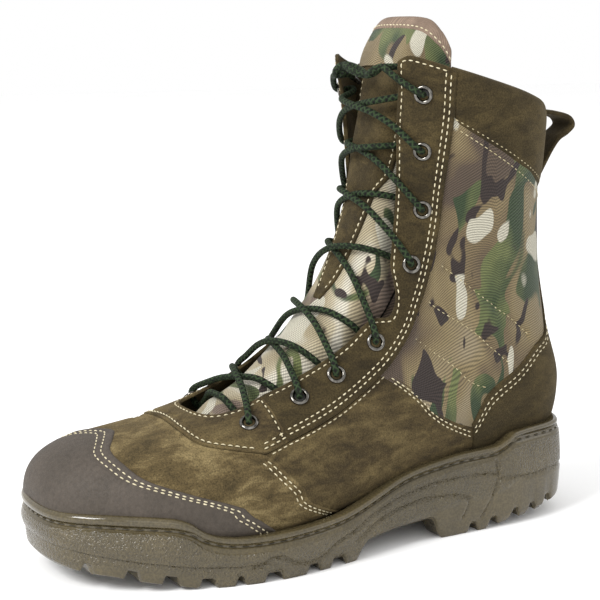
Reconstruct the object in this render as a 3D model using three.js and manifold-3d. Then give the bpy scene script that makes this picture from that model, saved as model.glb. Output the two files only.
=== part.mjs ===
// Insulated lace-up field boot for the left foot, with a side zip.
// Millimetres, +Z up.  The toe points towards -Y, the outer (lateral) side towards +X.
import * as THREE from "three";
import { mergeVertices } from "three/addons/utils/BufferGeometryUtils.js";
import Module from "manifold-3d";

const wasm = await Module();
wasm.setup();

// ---------------------------------------------------------------- driving dimensions
const BOOT_LENGTH = 312; // outsole, toe tip to heel
const BALL_WIDTH = 118; // outsole, across the ball of the foot
const SHAFT_HEIGHT = 261; // ground to the front of the collar
const SEAM_TRIM = 0.5; // each panel stops this short of its seam line
const QUARTER_TRIM = 0.8; // the same on panels with a strong bow or coarse facets
const FACING_TRIM = 0.9;
const HEEL_TRIM = 1.4;
const SHELL = [0, -1.8]; // outer panels, measured outwards from the form
const STIFFENER = [-3.9, -4.4]; // toe puff and heel counter
const INSULATION = [-4.8, -6.5]; // quilted wadding
const LINING = [-7.3, -8.2]; // fleece lining
const COLLAR_PUFF = 1.5; // how far the padded collar stands proud
const EYELET_BORE = 2.7; // radii of an eyelet
const EYELET_BARREL = 3.2;
const EYELET_FLANGE = 5.0;
const EYELET_BACK = 4.2;
const EYELET_GAP = 0.8; // between a flange and the leather it grips
const FLANGE_THICKNESS = 0.45;
const LACE_RADIUS = 2.0;
const LACE_UNDER = -5.4; // height of the lace where it runs behind the eyestay
const LACE_CROSS_LOW = 0.8; // heights of the two strands where they cross
const LACE_CROSS_HIGH = 5.2;
const TONGUE_UNDER = -8.3; // tongue face behind the eyestays
const TONGUE_CROWN = -2.4; // tongue face between the eyestays
const TONGUE_THICKNESS = 1.2;
const SLAB_THICKNESS = 5; // tread base
const FIT = 0.3; // gap between faces that touch
const LAST_CLEARANCE = 1.2; // midsole cup around the lasted upper
const SHANK_THICKNESS = 1.4;
const ZIP_LINE_Y = 92; // the zip stands on this line on the inner side
const ZIP_BOTTOM = 104; // lower end of the teeth
const ZIP_WINDOW = 13; // width of the slot that the zip fills
const ZIP_CHAIN = 2.6; // width of one row of teeth
const ZIP_GAP = 1.2; // between the two rows
const PULL_LOOP_WIDTH = 15;
const PULL_LOOP_TOP = 226; // heights at which the loop is sewn to the collar
const PULL_LOOP_FOOT = 190;
const STRAP_THICKNESS = 2.2;
const FEATHER = 136; // angle at which the upper turns in under the foot
const EYELET_FACETS = 8;
const LACE_FACETS = 6;

// ---------------------------------------------------------------- the foot form
// Each row is one slanted section: front point (y, z), rear point (y, z), half-width on the
// outer and inner side, centre x, share of the depth where it is widest, and the two exponents
// that round its front and its rear (1 is an ellipse, less is squarer).
const FORM = [
  [-147, 30, -147, 28, 0, 0, -10, 0.62, 1, 0.6],
  [-148, 46, -143, 24, 22, 21, -10, 0.62, 0.92, 0.52],
  [-140, 58, -132, 21, 36, 34, -10, 0.62, 0.86, 0.48],
  [-121, 66, -114, 20, 47, 43, -8, 0.64, 0.85, 0.42],
  [-94, 71, -89, 19, 53, 48, -5, 0.66, 0.86, 0.4],
  [-65, 78, -59, 19, 56, 50, -2, 0.68, 0.88, 0.4],
  [-37, 90, -28, 20, 53, 47, 0, 0.68, 0.88, 0.42],
  [-12, 107, 6, 23, 48, 43, 0, 0.66, 0.86, 0.48],
  [8, 129, 48, 27, 43, 40, 0, 0.62, 0.82, 0.6],
  [22, 153, 102, 31, 41, 38, 0, 0.57, 0.78, 0.72],
  [31, 175, 150, 40, 40, 38, 0, 0.52, 0.76, 0.9],
  [36, 195, 161, 68, 41, 41, 0, 0.5, 0.76, 1],
  [38, 211, 150, 104, 44, 45, 0, 0.5, 0.75, 1],
  [38, 227, 143, 143, 47, 48, 0, 0.5, 0.75, 1],
  [37, 243, 140, 188, 50, 52, 0, 0.5, 0.75, 0.95],
  [35, 261, 143, 230, 51, 55, 0, 0.5, 0.75, 0.9],
  [38, 278, 146, 252, 51, 55, 0, 0.5, 0.75, 0.9],
  [44, 292, 150, 270, 50, 54, 0, 0.5, 0.75, 0.9],
];
const FORM_SIZE = { length: 312, width: 118, height: 261, foot: 40 }; // sizes FORM is drawn at

const along = (y) => (y * BOOT_LENGTH) / FORM_SIZE.length;
const across = (x) => (x * BALL_WIDTH) / FORM_SIZE.width;
const upward = (z) => {
  const stretch = (SHAFT_HEIGHT - FORM_SIZE.foot) / (FORM_SIZE.height - FORM_SIZE.foot);
  return z <= FORM_SIZE.foot ? z : FORM_SIZE.foot + (z - FORM_SIZE.foot) * stretch;
};

// Uniform Catmull-Rom spline through rows of numbers; u counts rows.
const spline = (rows, u) => {
  const i = Math.min(Math.max(Math.floor(u), 0), rows.length - 2);
  const f = u - i;
  const row = (k) => rows[Math.min(Math.max(k, 0), rows.length - 1)];
  const [a, b, c, d] = [row(i - 1), row(i), row(i + 1), row(i + 2)];
  return b.map((_, k) => {
    const cubic = 3 * (b[k] - c[k]) + d[k] - a[k];
    const square = 2 * a[k] - 5 * b[k] + 4 * c[k] - d[k];
    return b[k] + 0.5 * f * (c[k] - a[k] + f * (square + f * cubic));
  });
};

const radians = THREE.MathUtils.degToRad;
const lerp = THREE.MathUtils.lerp;

// Point of the form: t counts sections from the toe up to the collar, phi in degrees goes round a
// section from the front (0) over the outer side (90) to the rear (180); negative is the inner side.
const formPoint = (t, phi) => {
  const turn = ((phi + 540) % 360) - 180;
  const [dy, dz, py, pz, outer, inner, centre, widest, front, rear] = spline(FORM, t);
  const angle = radians(Math.abs(turn));
  const isFront = angle <= Math.PI / 2;
  const power = isFront ? front : rear;
  const c = Math.abs(Math.cos(angle)) ** power;
  const s = Math.abs(Math.sin(angle)) ** power;
  const depth = isFront ? widest * (1 - c) : widest + (1 - widest) * c;
  const half = Math.max(turn >= 0 ? outer : inner, 0);
  const x = centre + Math.sign(turn) * half * s;
  return new THREE.Vector3(
    across(x),
    along(dy + (py - dy) * depth),
    upward(dz + (pz - dz) * depth),
  );
};

const formNormal = (t, phi) => {
  const dt = 0.02;
  const dphi = 0.5;
  const up = formPoint(t + dt, phi).sub(formPoint(Math.max(t - dt, 0.001), phi));
  const round = formPoint(t, phi + dphi).sub(formPoint(t, phi - dphi));
  return round.cross(up).normalize();
};

const onForm = (t, phi, height) =>
  formPoint(t, phi).addScaledVector(formNormal(t, phi), height);

// Angle at which section t passes a given y on the inner side.
const innerAngleAt = (t, y) => {
  let [low, high] = [-20, -170];
  for (let step = 0; step < 30; step++) {
    const middle = (low + high) / 2;
    if (formPoint(t, middle).y < y) low = middle;
    else high = middle;
  }
  return (low + high) / 2;
};

// Smooth curve through knots [x, value], read at x.
const through = (knots) => (x) => {
  const last = knots.length - 1;
  if (x <= knots[0][0]) return knots[0][1];
  if (x >= knots[last][0]) return knots[last][1];
  const i = knots.findIndex((knot) => knot[0] > x) - 1;
  const slope = (k) => {
    const [a, b] = [knots[Math.max(k - 1, 0)], knots[Math.min(k + 1, last)]];
    return (b[1] - a[1]) / (b[0] - a[0]);
  };
  const span = knots[i + 1][0] - knots[i][0];
  const f = (x - knots[i][0]) / span;
  const h = [2 * f ** 3 - 3 * f ** 2 + 1, f ** 3 - 2 * f ** 2 + f];
  const g = [3 * f ** 2 - 2 * f ** 3, f ** 3 - f ** 2];
  const start = h[0] * knots[i][1] + h[1] * span * slope(i);
  return start + g[0] * knots[i + 1][1] + g[1] * span * slope(i + 1);
};

// ---------------------------------------------------------------- seam lines on the form
// Section t by angle:
const capEdge = through([
  [0, 3.55], [12, 3.33], [24, 3.14], [40, 3.18], [60, 3.45], [75, 4.1], [85, 4.7], [95, 5.2], [138, 5.7],
]);
const vampRear = through([
  [0, 4.42], [20, 4.42], [39, 4.58], [53, 5.1], [62, 5.5], [80, 5.85], [105, 6.4], [138, 6.85],
]);
// Angle by section t:
const stayFront = through([
  [6, 24], [6.75, 31], [7.75, 41], [8.4, 45], [8.75, 53],
  [9.1, 50], [9.5, 39], [10.8, 31], [12.9, 27], [15, 29],
]);
const stayRear = through([
  [5.5, 61], [6, 61], [7.1, 66], [8.1, 69], [8.75, 67],
  [9.4, 63], [10.2, 60], [11.6, 61], [13.8, 67], [15, 69],
]);
const feather = through([[0, 124], [1, 130], [3, FEATHER], [7, 137], [8.8, FEATHER]]);
// Points [t, angle]:
const facingInner = [
  [5.95, 24], [5.5, 23], [5.1, 18], [4.92, 8], [4.92, -8], [5.1, -18], [5.5, -23], [5.95, -24],
];
const heelTop = [
  [9, 108], [9.45, 101], [10.1, 105], [10.9, 116], [11.6, 132], [12.5, 152], [13.8, 166], [13.8, 180],
];
const heelFoot = [
  [8.82, 134], [8.95, 137], [9.05, 141], [9.2, 146], [9.4, 151], [9.65, 157], [9.95, 168], [10.1, 180],
];
const FABRIC_CORNER = [8.18, 69];
const COLLAR_SEAM = 13.85;
const COLLAR_TOP = 15;
const SHELL_EDGE = 61; // angle where the facing meets the quarters
const EYELETS = [
  [5.48, 37.5], [6.5, 42], [7.3, 48.5], [8.25, 55], [9.8, 50], [11.1, 49], [12.7, 47], [14.2, 47],
];

// ---------------------------------------------------------------- solids
const closedGeometry = (points, faces) => {
  const geometry = new THREE.BufferGeometry();
  const numbers = points.flatMap((p) => p.toArray());
  geometry.setAttribute("position", new THREE.Float32BufferAttribute(numbers, 3));
  const triangles = faces.map(([a, b, c]) => [points[a], points[b], points[c]]);
  const volume = triangles.reduce((sum, [a, b, c]) => sum + a.dot(b.clone().cross(c)), 0);
  geometry.setIndex((volume < 0 ? faces.map(([a, b, c]) => [a, c, b]) : faces).flat());
  return geometry;
};

// Closed sheet between two grids of points: both faces and a wall round the rim.
const sheet = (outer, inner) => {
  const rows = outer.length;
  const columns = outer[0].length;
  const points = [...outer.flat(), ...inner.flat()];
  const top = (i, j) => i * columns + j;
  const under = (i, j) => rows * columns + top(i, j);
  const faces = [];
  for (let i = 0; i < rows - 1; i++) {
    for (let j = 0; j < columns - 1; j++) {
      faces.push([top(i, j), top(i + 1, j), top(i + 1, j + 1)]);
      faces.push([top(i, j), top(i + 1, j + 1), top(i, j + 1)]);
      faces.push([under(i, j), under(i + 1, j + 1), under(i + 1, j)]);
      faces.push([under(i, j), under(i, j + 1), under(i + 1, j + 1)]);
    }
  }
  const rim = [];
  for (let j = 0; j < columns - 1; j++) rim.push([0, j]);
  for (let i = 0; i < rows - 1; i++) rim.push([i, columns - 1]);
  for (let j = columns - 1; j > 0; j--) rim.push([rows - 1, j]);
  for (let i = rows - 1; i > 0; i--) rim.push([i, 0]);
  rim.forEach(([i, j], k) => {
    const [m, n] = rim[(k + 1) % rim.length];
    faces.push([top(i, j), top(m, n), under(m, n)], [top(i, j), under(m, n), under(i, j)]);
  });
  return closedGeometry(points, faces);
};

// Closed body through a row of rings with equal counts of points, with flat ends.
const loft = (rings) => {
  const count = rings[0].length;
  const centre = (ring) => ring.reduce((sum, p) => sum.add(p), new THREE.Vector3()).divideScalar(count);
  const points = [...rings.flat(), centre(rings[0]), centre(rings.at(-1))];
  const at = (i, j) => i * count + (j % count);
  const [startCentre, endCentre] = [points.length - 2, points.length - 1];
  const faces = [];
  for (let j = 0; j < count; j++) {
    for (let i = 0; i < rings.length - 1; i++) {
      faces.push([at(i, j), at(i + 1, j), at(i + 1, j + 1)]);
      faces.push([at(i, j), at(i + 1, j + 1), at(i, j + 1)]);
    }
    const last = rings.length - 1;
    faces.push([at(0, j + 1), startCentre, at(0, j)]);
    faces.push([at(last, j), endCentre, at(last, j + 1)]);
  }
  return closedGeometry(points, faces);
};

const toSolid = (geometry) => {
  const bare = geometry.clone();
  bare.deleteAttribute("normal");
  bare.deleteAttribute("uv");
  const merged = mergeVertices(bare, 1e-4);
  const vertProperties = new Float32Array(merged.attributes.position.array);
  const triVerts = new Uint32Array(merged.index.array);
  return new wasm.Manifold(new wasm.Mesh({ numProp: 3, vertProperties, triVerts }));
};

const toGeometry = (solid) => {
  const { vertProperties, triVerts } = solid.getMesh();
  const numbers = Array.from(vertProperties);
  const geometry = new THREE.BufferGeometry();
  geometry.setAttribute("position", new THREE.Float32BufferAttribute(numbers, 3));
  geometry.setIndex(Array.from(triVerts));
  return geometry;
};

const cut = (geometry, tools) =>
  toGeometry(tools.reduce((solid, tool) => solid.subtract(toSolid(tool)), toSolid(geometry)));

// ---------------------------------------------------------------- panels cut for the form
// An edge is a function of u (0 to 1) giving [t, phi].
const edge = (points) => (u) => spline(points, u * (points.length - 1));
const seamAcross = (seam, from, to) => (u) => {
  const phi = lerp(from, to, u);
  return [seam(Math.abs(phi)), phi];
};
const seamUp = (seam, from, to, side = 1) => (u) => {
  const t = lerp(from, to, u);
  return [t, side * seam(t)];
};
const mirrored = (line) => (u) => {
  const [t, phi] = line(u);
  return [t, -phi];
};

const polylineLength = (point) => {
  const samples = 16;
  let length = 0;
  for (let k = 0; k < samples; k++) {
    length += point(k / samples).distanceTo(point((k + 1) / samples));
  }
  return length;
};
const inset = (value, length, trim) => lerp(trim / length, 1 - trim / length, value);

// Panel between two edges, trimmed back from its seams.  Its heights may vary over the panel, and
// its first end may follow a seam of its own.
const panel = (edgeA, edgeB, columns, rows, heights, options = {}) => {
  const { trim = SEAM_TRIM, front = null } = options;
  const straight = (u, v) => {
    const [a, b] = [edgeA(u), edgeB(u)];
    return [lerp(a[0], b[0], v), lerp(a[1], b[1], v)];
  };
  const place = (u, v) => {
    const spot = straight(u, v);
    if (!front) return spot;
    const [bow, chord] = [front(v), straight(0, v)];
    return spot.map((value, k) => value + (1 - u) * (bow[k] - chord[k]));
  };
  const height = (level, t, phi) => {
    const value = heights[level];
    return typeof value === "function" ? value(t, phi) : value;
  };
  const grid = (level) => {
    const lines = [];
    for (let i = 0; i <= columns; i++) {
      const line = [];
      for (let j = 0; j <= rows; j++) {
        const lengthU = polylineLength((u) => formPoint(...place(u, j / rows)));
        const u = inset(i / columns, lengthU, trim);
        const lengthV = polylineLength((v) => formPoint(...place(u, v)));
        const [t, phi] = place(u, inset(j / rows, lengthV, trim));
        line.push(onForm(t, phi, height(level, t, phi)));
      }
      lines.push(line);
    }
    return lines;
  };
  return sheet(grid(0), grid(1));
};

// ---------------------------------------------------------------- materials
const material = (color, roughness, metalness = 0) =>
  new THREE.MeshStandardMaterial({ color, roughness, metalness });
const SUEDE = ["#5b5033", 0.95];
const CAP_LEATHER = ["#5a504b", 0.85];
const CAMO_CLOTH = ["#6b6048", 0.9];
const RUBBER = ["#6b6350", 0.6];
const FLEECE = ["#2f2c25", 1];
const WADDING = ["#b9b3a3", 1];
const BOARD = ["#8a6f4d", 0.8];
const PLASTIC = ["#2b2b28", 0.5];
const STEEL = ["#9a9a98", 0.35, 1];
const DARK_NICKEL = ["#3a3936", 0.35, 1];
const LACE_CORD = ["#2f3327", 0.9];
const BINDING_TAPE = ["#8d7763", 0.9];

const boot = new THREE.Group();
const addPiece = (name, geometry, finish, parent = boot) => {
  const mesh = new THREE.Mesh(geometry, material(...finish));
  mesh.name = name;
  parent.add(mesh);
  return mesh;
};

// ---------------------------------------------------------------- sole
// Closed outline (x, y) from the toe round the outer side to the heel and back.
const SOLE_OUTLINE = [
  [-12, -152], [18, -147], [41, -123], [54, -88], [61, -48],
  [56, -8], [46, 35], [43, 80], [41, 118], [30, 150],
  [0, 160], [-30, 150], [-40, 118], [-41, 80], [-42, 35],
  [-47, -10], [-55, -50], [-57, -86], [-52, -123], [-38, -145],
];
// Heights by y: foot of the lugs, base of the tread, top of the rubber lip.
const groundLine = through([[-152, 13], [-140, 10], [-125, 8], [-108, 4.5], [-88, 1], [-72, 0]]);
const treadBase = through([
  [-152, 19], [-140, 16], [-125, 14], [-108, 10.5], [-88, 7], [-72, 6],
  [0, 6.5], [18, 10], [50, 12], [60, 10], [68, 7],
]);
const lipTop = through([
  [-152, 39], [-100, 38], [-90, 36], [-76, 28], [-66, 25], [-45, 25],
  [0, 30], [35, 36], [80, 48], [118, 51], [160, 52],
]);

const outlineLoop = (() => {
  const closed = [SOLE_OUTLINE.at(-1), ...SOLE_OUTLINE, SOLE_OUTLINE[0], SOLE_OUTLINE[1]];
  const samples = 12 * SOLE_OUTLINE.length;
  const points = [];
  for (let k = 0; k <= samples; k++) {
    points.push(spline(closed, 1 + (k * SOLE_OUTLINE.length) / samples));
  }
  return points;
})();

// The two x values where the outline passes y, before scaling.
const outlineAt = (y) => {
  const hits = [];
  for (let k = 0; k < outlineLoop.length - 1; k++) {
    const [a, b] = [outlineLoop[k], outlineLoop[k + 1]];
    if ((a[1] - y) * (b[1] - y) <= 0 && a[1] !== b[1]) {
      hits.push(lerp(a[0], b[0], (y - a[1]) / (b[1] - a[1])));
    }
  }
  return [Math.min(...hits), Math.max(...hits)];
};
const outlineY = outlineLoop.map((p) => p[1]);
const soleRange = [Math.min(...outlineY), Math.max(...outlineY)];
const SOLE_STATIONS = 28;
const TIP_MARGIN = 1.6; // flat end of the outline at the toe and the heel

// Body with the sole's outline between two heights that follow the length.
const soleBody = (lower, upper, inwards) => {
  const rings = [];
  const [toe, heel] = soleRange;
  for (let k = 0; k <= SOLE_STATIONS; k++) {
    const share = (1 - Math.cos((Math.PI * k) / SOLE_STATIONS)) / 2;
    const y = lerp(toe + TIP_MARGIN, heel - TIP_MARGIN, share);
    const [inner, outer] = outlineAt(y);
    const xs = [inner + inwards, outer - inwards].map(across);
    const [z0, z1] = [lower(y), upper(y)];
    rings.push([
      ...xs.map((x) => new THREE.Vector3(x, along(y), z0)),
      ...xs.reverse().map((x) => new THREE.Vector3(x, along(y), z1)),
    ]);
  }
  return loft(rings);
};

// Tread lug: a block between two y values and two shares of the width, down to the ground line.
const LUG_INSET = 1.5; // from the outline
const lug = (y0, y1, from, to, skew = 0) => {
  const corner = (y, share) => {
    const [inner, outer] = outlineAt(y);
    return new THREE.Vector2(across(lerp(inner + LUG_INSET, outer - LUG_INSET, share)), along(y));
  };
  const shape = new THREE.Shape([
    corner(y0, from), corner(y0 + skew, to), corner(y1 + skew, to), corner(y1, from),
  ]);
  const bottom = groundLine((y0 + y1) / 2);
  const top = Math.max(treadBase(y0), treadBase(y1)) + 1;
  const block = new THREE.ExtrudeGeometry(shape, { depth: top - bottom, bevelEnabled: false });
  return block.translate(0, 0, bottom);
};

const LUG_ROWS = {
  forefoot: { from: -134, to: 2, pitch: 20, length: 14 },
  heel: { from: 62, to: 140, pitch: 15.5, length: 10.5 },
};
const EDGE_LUG = 0.2; // share of the width that an edge lug takes
const LUG_SKEW = 5; // the two centre lugs of a row form a chevron
const buildOutsole = () => {
  let solid = toSolid(soleBody(treadBase, (y) => treadBase(y) + SLAB_THICKNESS, 1));
  for (const { from, to, pitch, length } of Object.values(LUG_ROWS)) {
    for (let y = from; y < to; y += pitch) {
      solid = solid.add(toSolid(lug(y, y + length, 0, EDGE_LUG)));
      solid = solid.add(toSolid(lug(y, y + length, 1 - EDGE_LUG, 1)));
      const short = length * 0.6;
      solid = solid.add(toSolid(lug(y, y + short, 0.28, 0.46, LUG_SKEW)));
      solid = solid.add(toSolid(lug(y + LUG_SKEW, y + LUG_SKEW + short, 0.54, 0.72, -LUG_SKEW)));
    }
  }
  return toGeometry(solid);
};
addPiece("outsole", buildOutsole(), RUBBER);

// Solid form of the lasted foot, a little larger all round, to hollow the midsole with.
const LAST_FACETS = 40;
const lastBody = (clearance) => {
  const rings = [];
  for (let t = 0.05; t <= 11; t += 0.5) {
    const ring = [];
    for (let k = 0; k < LAST_FACETS; k++) {
      ring.push(onForm(t, (360 * k) / LAST_FACETS - 180, clearance));
    }
    rings.push(ring);
  }
  return loft(rings);
};

// Steel shank under the arch, let into the midsole.
const shankEdge = (side) => edge([[6.2, 180 + side * 14], [9.3, 180 + side * 10]]);
const shankBody = (heights, trim) => panel(shankEdge(-1), shankEdge(1), 8, 1, heights, { trim });
const SHANK_LEVEL = LAST_CLEARANCE + FIT;
const midsoleBottom = (y) => treadBase(y) + SLAB_THICKNESS + FIT;
const buildMidsole = () => {
  const recess = [SHANK_LEVEL + SHANK_THICKNESS + FIT, -LAST_CLEARANCE];
  const recessBody = shankBody(recess, -FIT - SEAM_TRIM);
  return cut(soleBody(midsoleBottom, lipTop, 0), [lastBody(LAST_CLEARANCE), recessBody]);
};
addPiece("midsole", buildMidsole(), RUBBER);
addPiece("shank", shankBody([SHANK_LEVEL + SHANK_THICKNESS, SHANK_LEVEL], SEAM_TRIM), STEEL);

// Sole of the foot: section t and share of the spread.
const FOOTPRINT = [
  [1.2, 1], [3, 1], [5, 1], [7, 1], [8.4, 1], [9.05, 0.9], [9.45, 0.6], [9.7, 0.25],
];
const footprint = (side, spread) =>
  edge(FOOTPRINT.map(([t, share]) => [t, 180 + side * spread * share]));
addPiece("insole_board", panel(footprint(-1, 37), footprint(1, 37), 14, 4, [-0.7, -2.7]), BOARD);
addPiece("footbed", panel(footprint(-1, 34), footprint(1, 34), 14, 4, [-3.3, -6.8]), FLEECE);

// ---------------------------------------------------------------- forefoot panels
const toeTip = (u) => [0.4, lerp(-FEATHER, FEATHER, u)];
const capLine = seamAcross(capEdge, -FEATHER, FEATHER);
addPiece("toe_cap", panel(toeTip, capLine, 20, 6, SHELL), CAP_LEATHER);
addPiece("vamp", panel(capLine, seamAcross(vampRear, -FEATHER, FEATHER), 20, 3, SHELL), SUEDE);

// Line round one section, the same way to both sides.
const ringLine = (t, side) => (u) => [t, lerp(-side, side, u)];
const PUFF_SIDE = 105;
const puff = panel(ringLine(1.2, PUFF_SIDE), ringLine(3.1, PUFF_SIDE), 14, 4, STIFFENER);
addPiece("toe_puff", puff, PLASTIC);
const LINING_SIDE = 104;
const forefootLayer = (heights) =>
  panel(ringLine(2.4, LINING_SIDE), ringLine(4.75, LINING_SIDE), 12, 3, heights);
addPiece("insulation_vamp", forefootLayer(INSULATION), WADDING);
addPiece("lining_vamp", forefootLayer(LINING), FLEECE);

// ---------------------------------------------------------------- eyestays and their eyelets
const turnTo = (direction) =>
  new THREE.Quaternion().setFromUnitVectors(new THREE.Vector3(0, 1, 0), direction);
// Stands a geometry drawn round +Y on the form's normal.
const onAxis = (geometry, spot) => {
  const centre = formPoint(...spot);
  return geometry.applyQuaternion(turnTo(formNormal(...spot))).translate(...centre.toArray());
};
const HOLE_DEPTH = 8;
const eyeletHole = (spot) => {
  const radius = EYELET_BARREL + FIT;
  return onAxis(new THREE.CylinderGeometry(radius, radius, HOLE_DEPTH, EYELET_FACETS), spot);
};
const sides = [[1, "lateral"], [-1, "medial"]];
const spotOn = (side, index) => [EYELETS[index][0], side * EYELETS[index][1]];

// Outer edge of the facing: a short stretch along each quarter and the vamp's seam between them.
const FACING_END = 0.09; // share of the edge along a quarter
const FACING_TOP = 5.97;
const facingOuter = (u) => {
  const side = u < 0.5 ? 1 : -1;
  const fromEnd = Math.min(u, 1 - u) / FACING_END;
  if (fromEnd < 1) return [lerp(FACING_TOP, vampRear(SHELL_EDGE), fromEnd), side * SHELL_EDGE];
  const phi = lerp(SHELL_EDGE, -SHELL_EDGE, inset(u, 1, FACING_END));
  return [vampRear(Math.abs(phi)), phi];
};
const facingBlank = panel(facingOuter, edge(facingInner), 22, 3, SHELL, { trim: FACING_TRIM });
const facingHoles = [1, -1].map((side) => eyeletHole(spotOn(side, 0)));
addPiece("throat_facing", cut(facingBlank, facingHoles), SUEDE);

const STAY_FOOT = 6;
for (const [side, name] of sides) {
  const [front, rear] = [stayFront, stayRear].map((seam) => seamUp(seam, STAY_FOOT, COLLAR_TOP, side));
  const blank = panel(front, rear, 18, 3, SHELL);
  const holes = EYELETS.slice(1).map((_, k) => eyeletHole(spotOn(side, k + 1)));
  addPiece(`eyestay_${name}`, cut(blank, holes), SUEDE);
}

// Rolled eyelet: barrel through the leather, wide flange in front, narrower one behind.
const eyeletProfile = () => {
  const front = EYELET_GAP;
  const back = SHELL[1] - EYELET_GAP;
  const outline = [
    [EYELET_BORE, back - FLANGE_THICKNESS],
    [EYELET_BACK, back - FLANGE_THICKNESS],
    [EYELET_BACK, back],
    [EYELET_BARREL, back],
    [EYELET_BARREL, front],
    [EYELET_FLANGE, front],
    [EYELET_BORE, front + FLANGE_THICKNESS],
    [EYELET_BORE, back - FLANGE_THICKNESS],
  ];
  return outline.map(([x, y]) => new THREE.Vector2(x, y));
};
for (const [side, name] of sides) {
  EYELETS.forEach((_, k) => {
    const ring = new THREE.LatheGeometry(eyeletProfile(), EYELET_FACETS);
    addPiece(`eyelet_${name}_${k + 1}`, onAxis(ring, spotOn(side, k)), DARK_NICKEL);
  });
}

// ---------------------------------------------------------------- rear panels
const QUARTER_SPLIT = 0.7; // share of the quarter's top edge that lies along the eyestay
const quarterTop = (u) => {
  if (u < QUARTER_SPLIT) {
    const t = lerp(5.52, FABRIC_CORNER[0], u / QUARTER_SPLIT);
    return [t, stayRear(t)];
  }
  const f = (u - QUARTER_SPLIT) / (1 - QUARTER_SPLIT);
  return [lerp(FABRIC_CORNER[0], 8.97, f), lerp(FABRIC_CORNER[1], 109, f)];
};
const quarterFoot = (u) => {
  const t = lerp(6.83, 8.8, u);
  return [t, feather(t)];
};
const heelLine = edge(heelTop);
const fabricRear = (u) => heelLine((u * (heelTop.length - 2)) / (heelTop.length - 1));
const fabricFront = seamUp(stayRear, FABRIC_CORNER[0], COLLAR_SEAM);
// Slot that the zip fills, open at the top and a margin wider than its window.
const ZIP_STOP = 4; // room for the bottom stop below the teeth
const zipSlot = (margin) => {
  const width = ZIP_WINDOW + 2 * margin;
  const bottom = upward(ZIP_BOTTOM) - ZIP_STOP - margin;
  const box = new THREE.BoxGeometry(BALL_WIDTH / 2, width, SHAFT_HEIGHT);
  return box.translate(-BALL_WIDTH / 2, along(ZIP_LINE_Y), bottom + SHAFT_HEIGHT / 2);
};

const quarterFront = (v) => {
  const phi = lerp(SHELL_EDGE, FEATHER, v);
  return [vampRear(phi), phi];
};
for (const [side, name] of sides) {
  const [top, foot, front] = [quarterTop, quarterFoot, quarterFront].map((line) =>
    side > 0 ? line : mirrored(line),
  );
  addPiece(`quarter_${name}`, panel(top, foot, 12, 5, SHELL, { trim: QUARTER_TRIM, front }), SUEDE);
}
addPiece("fabric_lateral", panel(fabricFront, fabricRear, 12, 7, SHELL), CAMO_CLOTH);
const fabricMedial = panel(mirrored(fabricFront), mirrored(fabricRear), 12, 7, SHELL);
addPiece("fabric_medial", cut(fabricMedial, [zipSlot(0)]), CAMO_CLOTH);

const fullRound = (half) => {
  const back = half.slice(0, -1).reverse();
  return edge([...half, ...back.map(([t, phi]) => [t, 360 - phi])]);
};
const heelPanel = panel(fullRound(heelTop), fullRound(heelFoot), 22, 7, SHELL, { trim: HEEL_TRIM });
addPiece("heel_cover", heelPanel, SUEDE);
const counterLine = (t) => (u) => [t(u), lerp(125, 235, u)];
const counterTop = counterLine(() => 10.9);
const counterFoot = counterLine((u) => 9.7 + 0.75 * Math.sin(Math.PI * u));
addPiece("heel_counter", panel(counterTop, counterFoot, 14, 4, STIFFENER), PLASTIC);

const collarLine = (t, from, to) => (u) => [t, lerp(from, to, u)];
const collarPuff = (t) => {
  const share = THREE.MathUtils.clamp((t - COLLAR_SEAM) / (COLLAR_TOP - COLLAR_SEAM), 0, 1);
  return COLLAR_PUFF * Math.sin(Math.PI * share);
};
const collarBand = (from, to, columns) => {
  const foot = collarLine(COLLAR_SEAM + 0.02, from[0], to[0]);
  const top = collarLine(COLLAR_TOP, from[1], to[1]);
  return panel(foot, top, columns, 3, [collarPuff, SHELL[1]]);
};
const COLLAR_FRONT = [67.5, 69]; // angles at the collar's lower and upper front corners
const COLLAR_BACK = [180, 180];
const inward = (angles) => angles.map((phi) => -phi);
const zipEdge = (offset) =>
  [COLLAR_SEAM, COLLAR_TOP].map((t) => innerAngleAt(t, along(ZIP_LINE_Y) + offset));
addPiece("collar_lateral", collarBand(COLLAR_FRONT, COLLAR_BACK, 10), SUEDE);
const frontBand = collarBand(inward(COLLAR_FRONT), zipEdge(-ZIP_WINDOW / 2), 4);
addPiece("collar_medial_front", frontBand, SUEDE);
const rearBand = collarBand(zipEdge(ZIP_WINDOW / 2), inward(COLLAR_BACK), 7);
addPiece("collar_medial_rear", rearBand, SUEDE);

// Wadding and lining of the shaft: from the eyestay round to the back seam on each side.
const LINING_FOOT = 6.3;
const LINING_TOP = 14.75;
const shaftFront = (u) => {
  const t = lerp(LINING_FOOT, LINING_TOP, u);
  return [t, stayRear(t) + 3];
};
const shaftRear = edge([
  [LINING_FOOT, 104], [7.3, 106], [8.3, 110], [9.1, 120], [9.9, 145],
  [10.8, 170], [11.8, 177], [13.3, 177], [LINING_TOP, 177],
]);
const LAYERS = [["insulation", INSULATION, WADDING], ["lining", LINING, FLEECE]];
for (const [part, heights, finish] of LAYERS) {
  addPiece(`${part}_lateral`, panel(shaftFront, shaftRear, 12, 6, heights), finish);
  const medial = panel(mirrored(shaftFront), mirrored(shaftRear), 12, 6, heights);
  addPiece(`${part}_medial`, cut(medial, [zipSlot(4)]), finish);
}

// ---------------------------------------------------------------- tongue
const tongueHalf = through([[4.6, 24], [5.2, 36], [6.5, 44], [8, 50], [13, 50], [14.9, 58]]);
const smooth = (x) => THREE.MathUtils.smoothstep(x, 0, 1);
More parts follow.
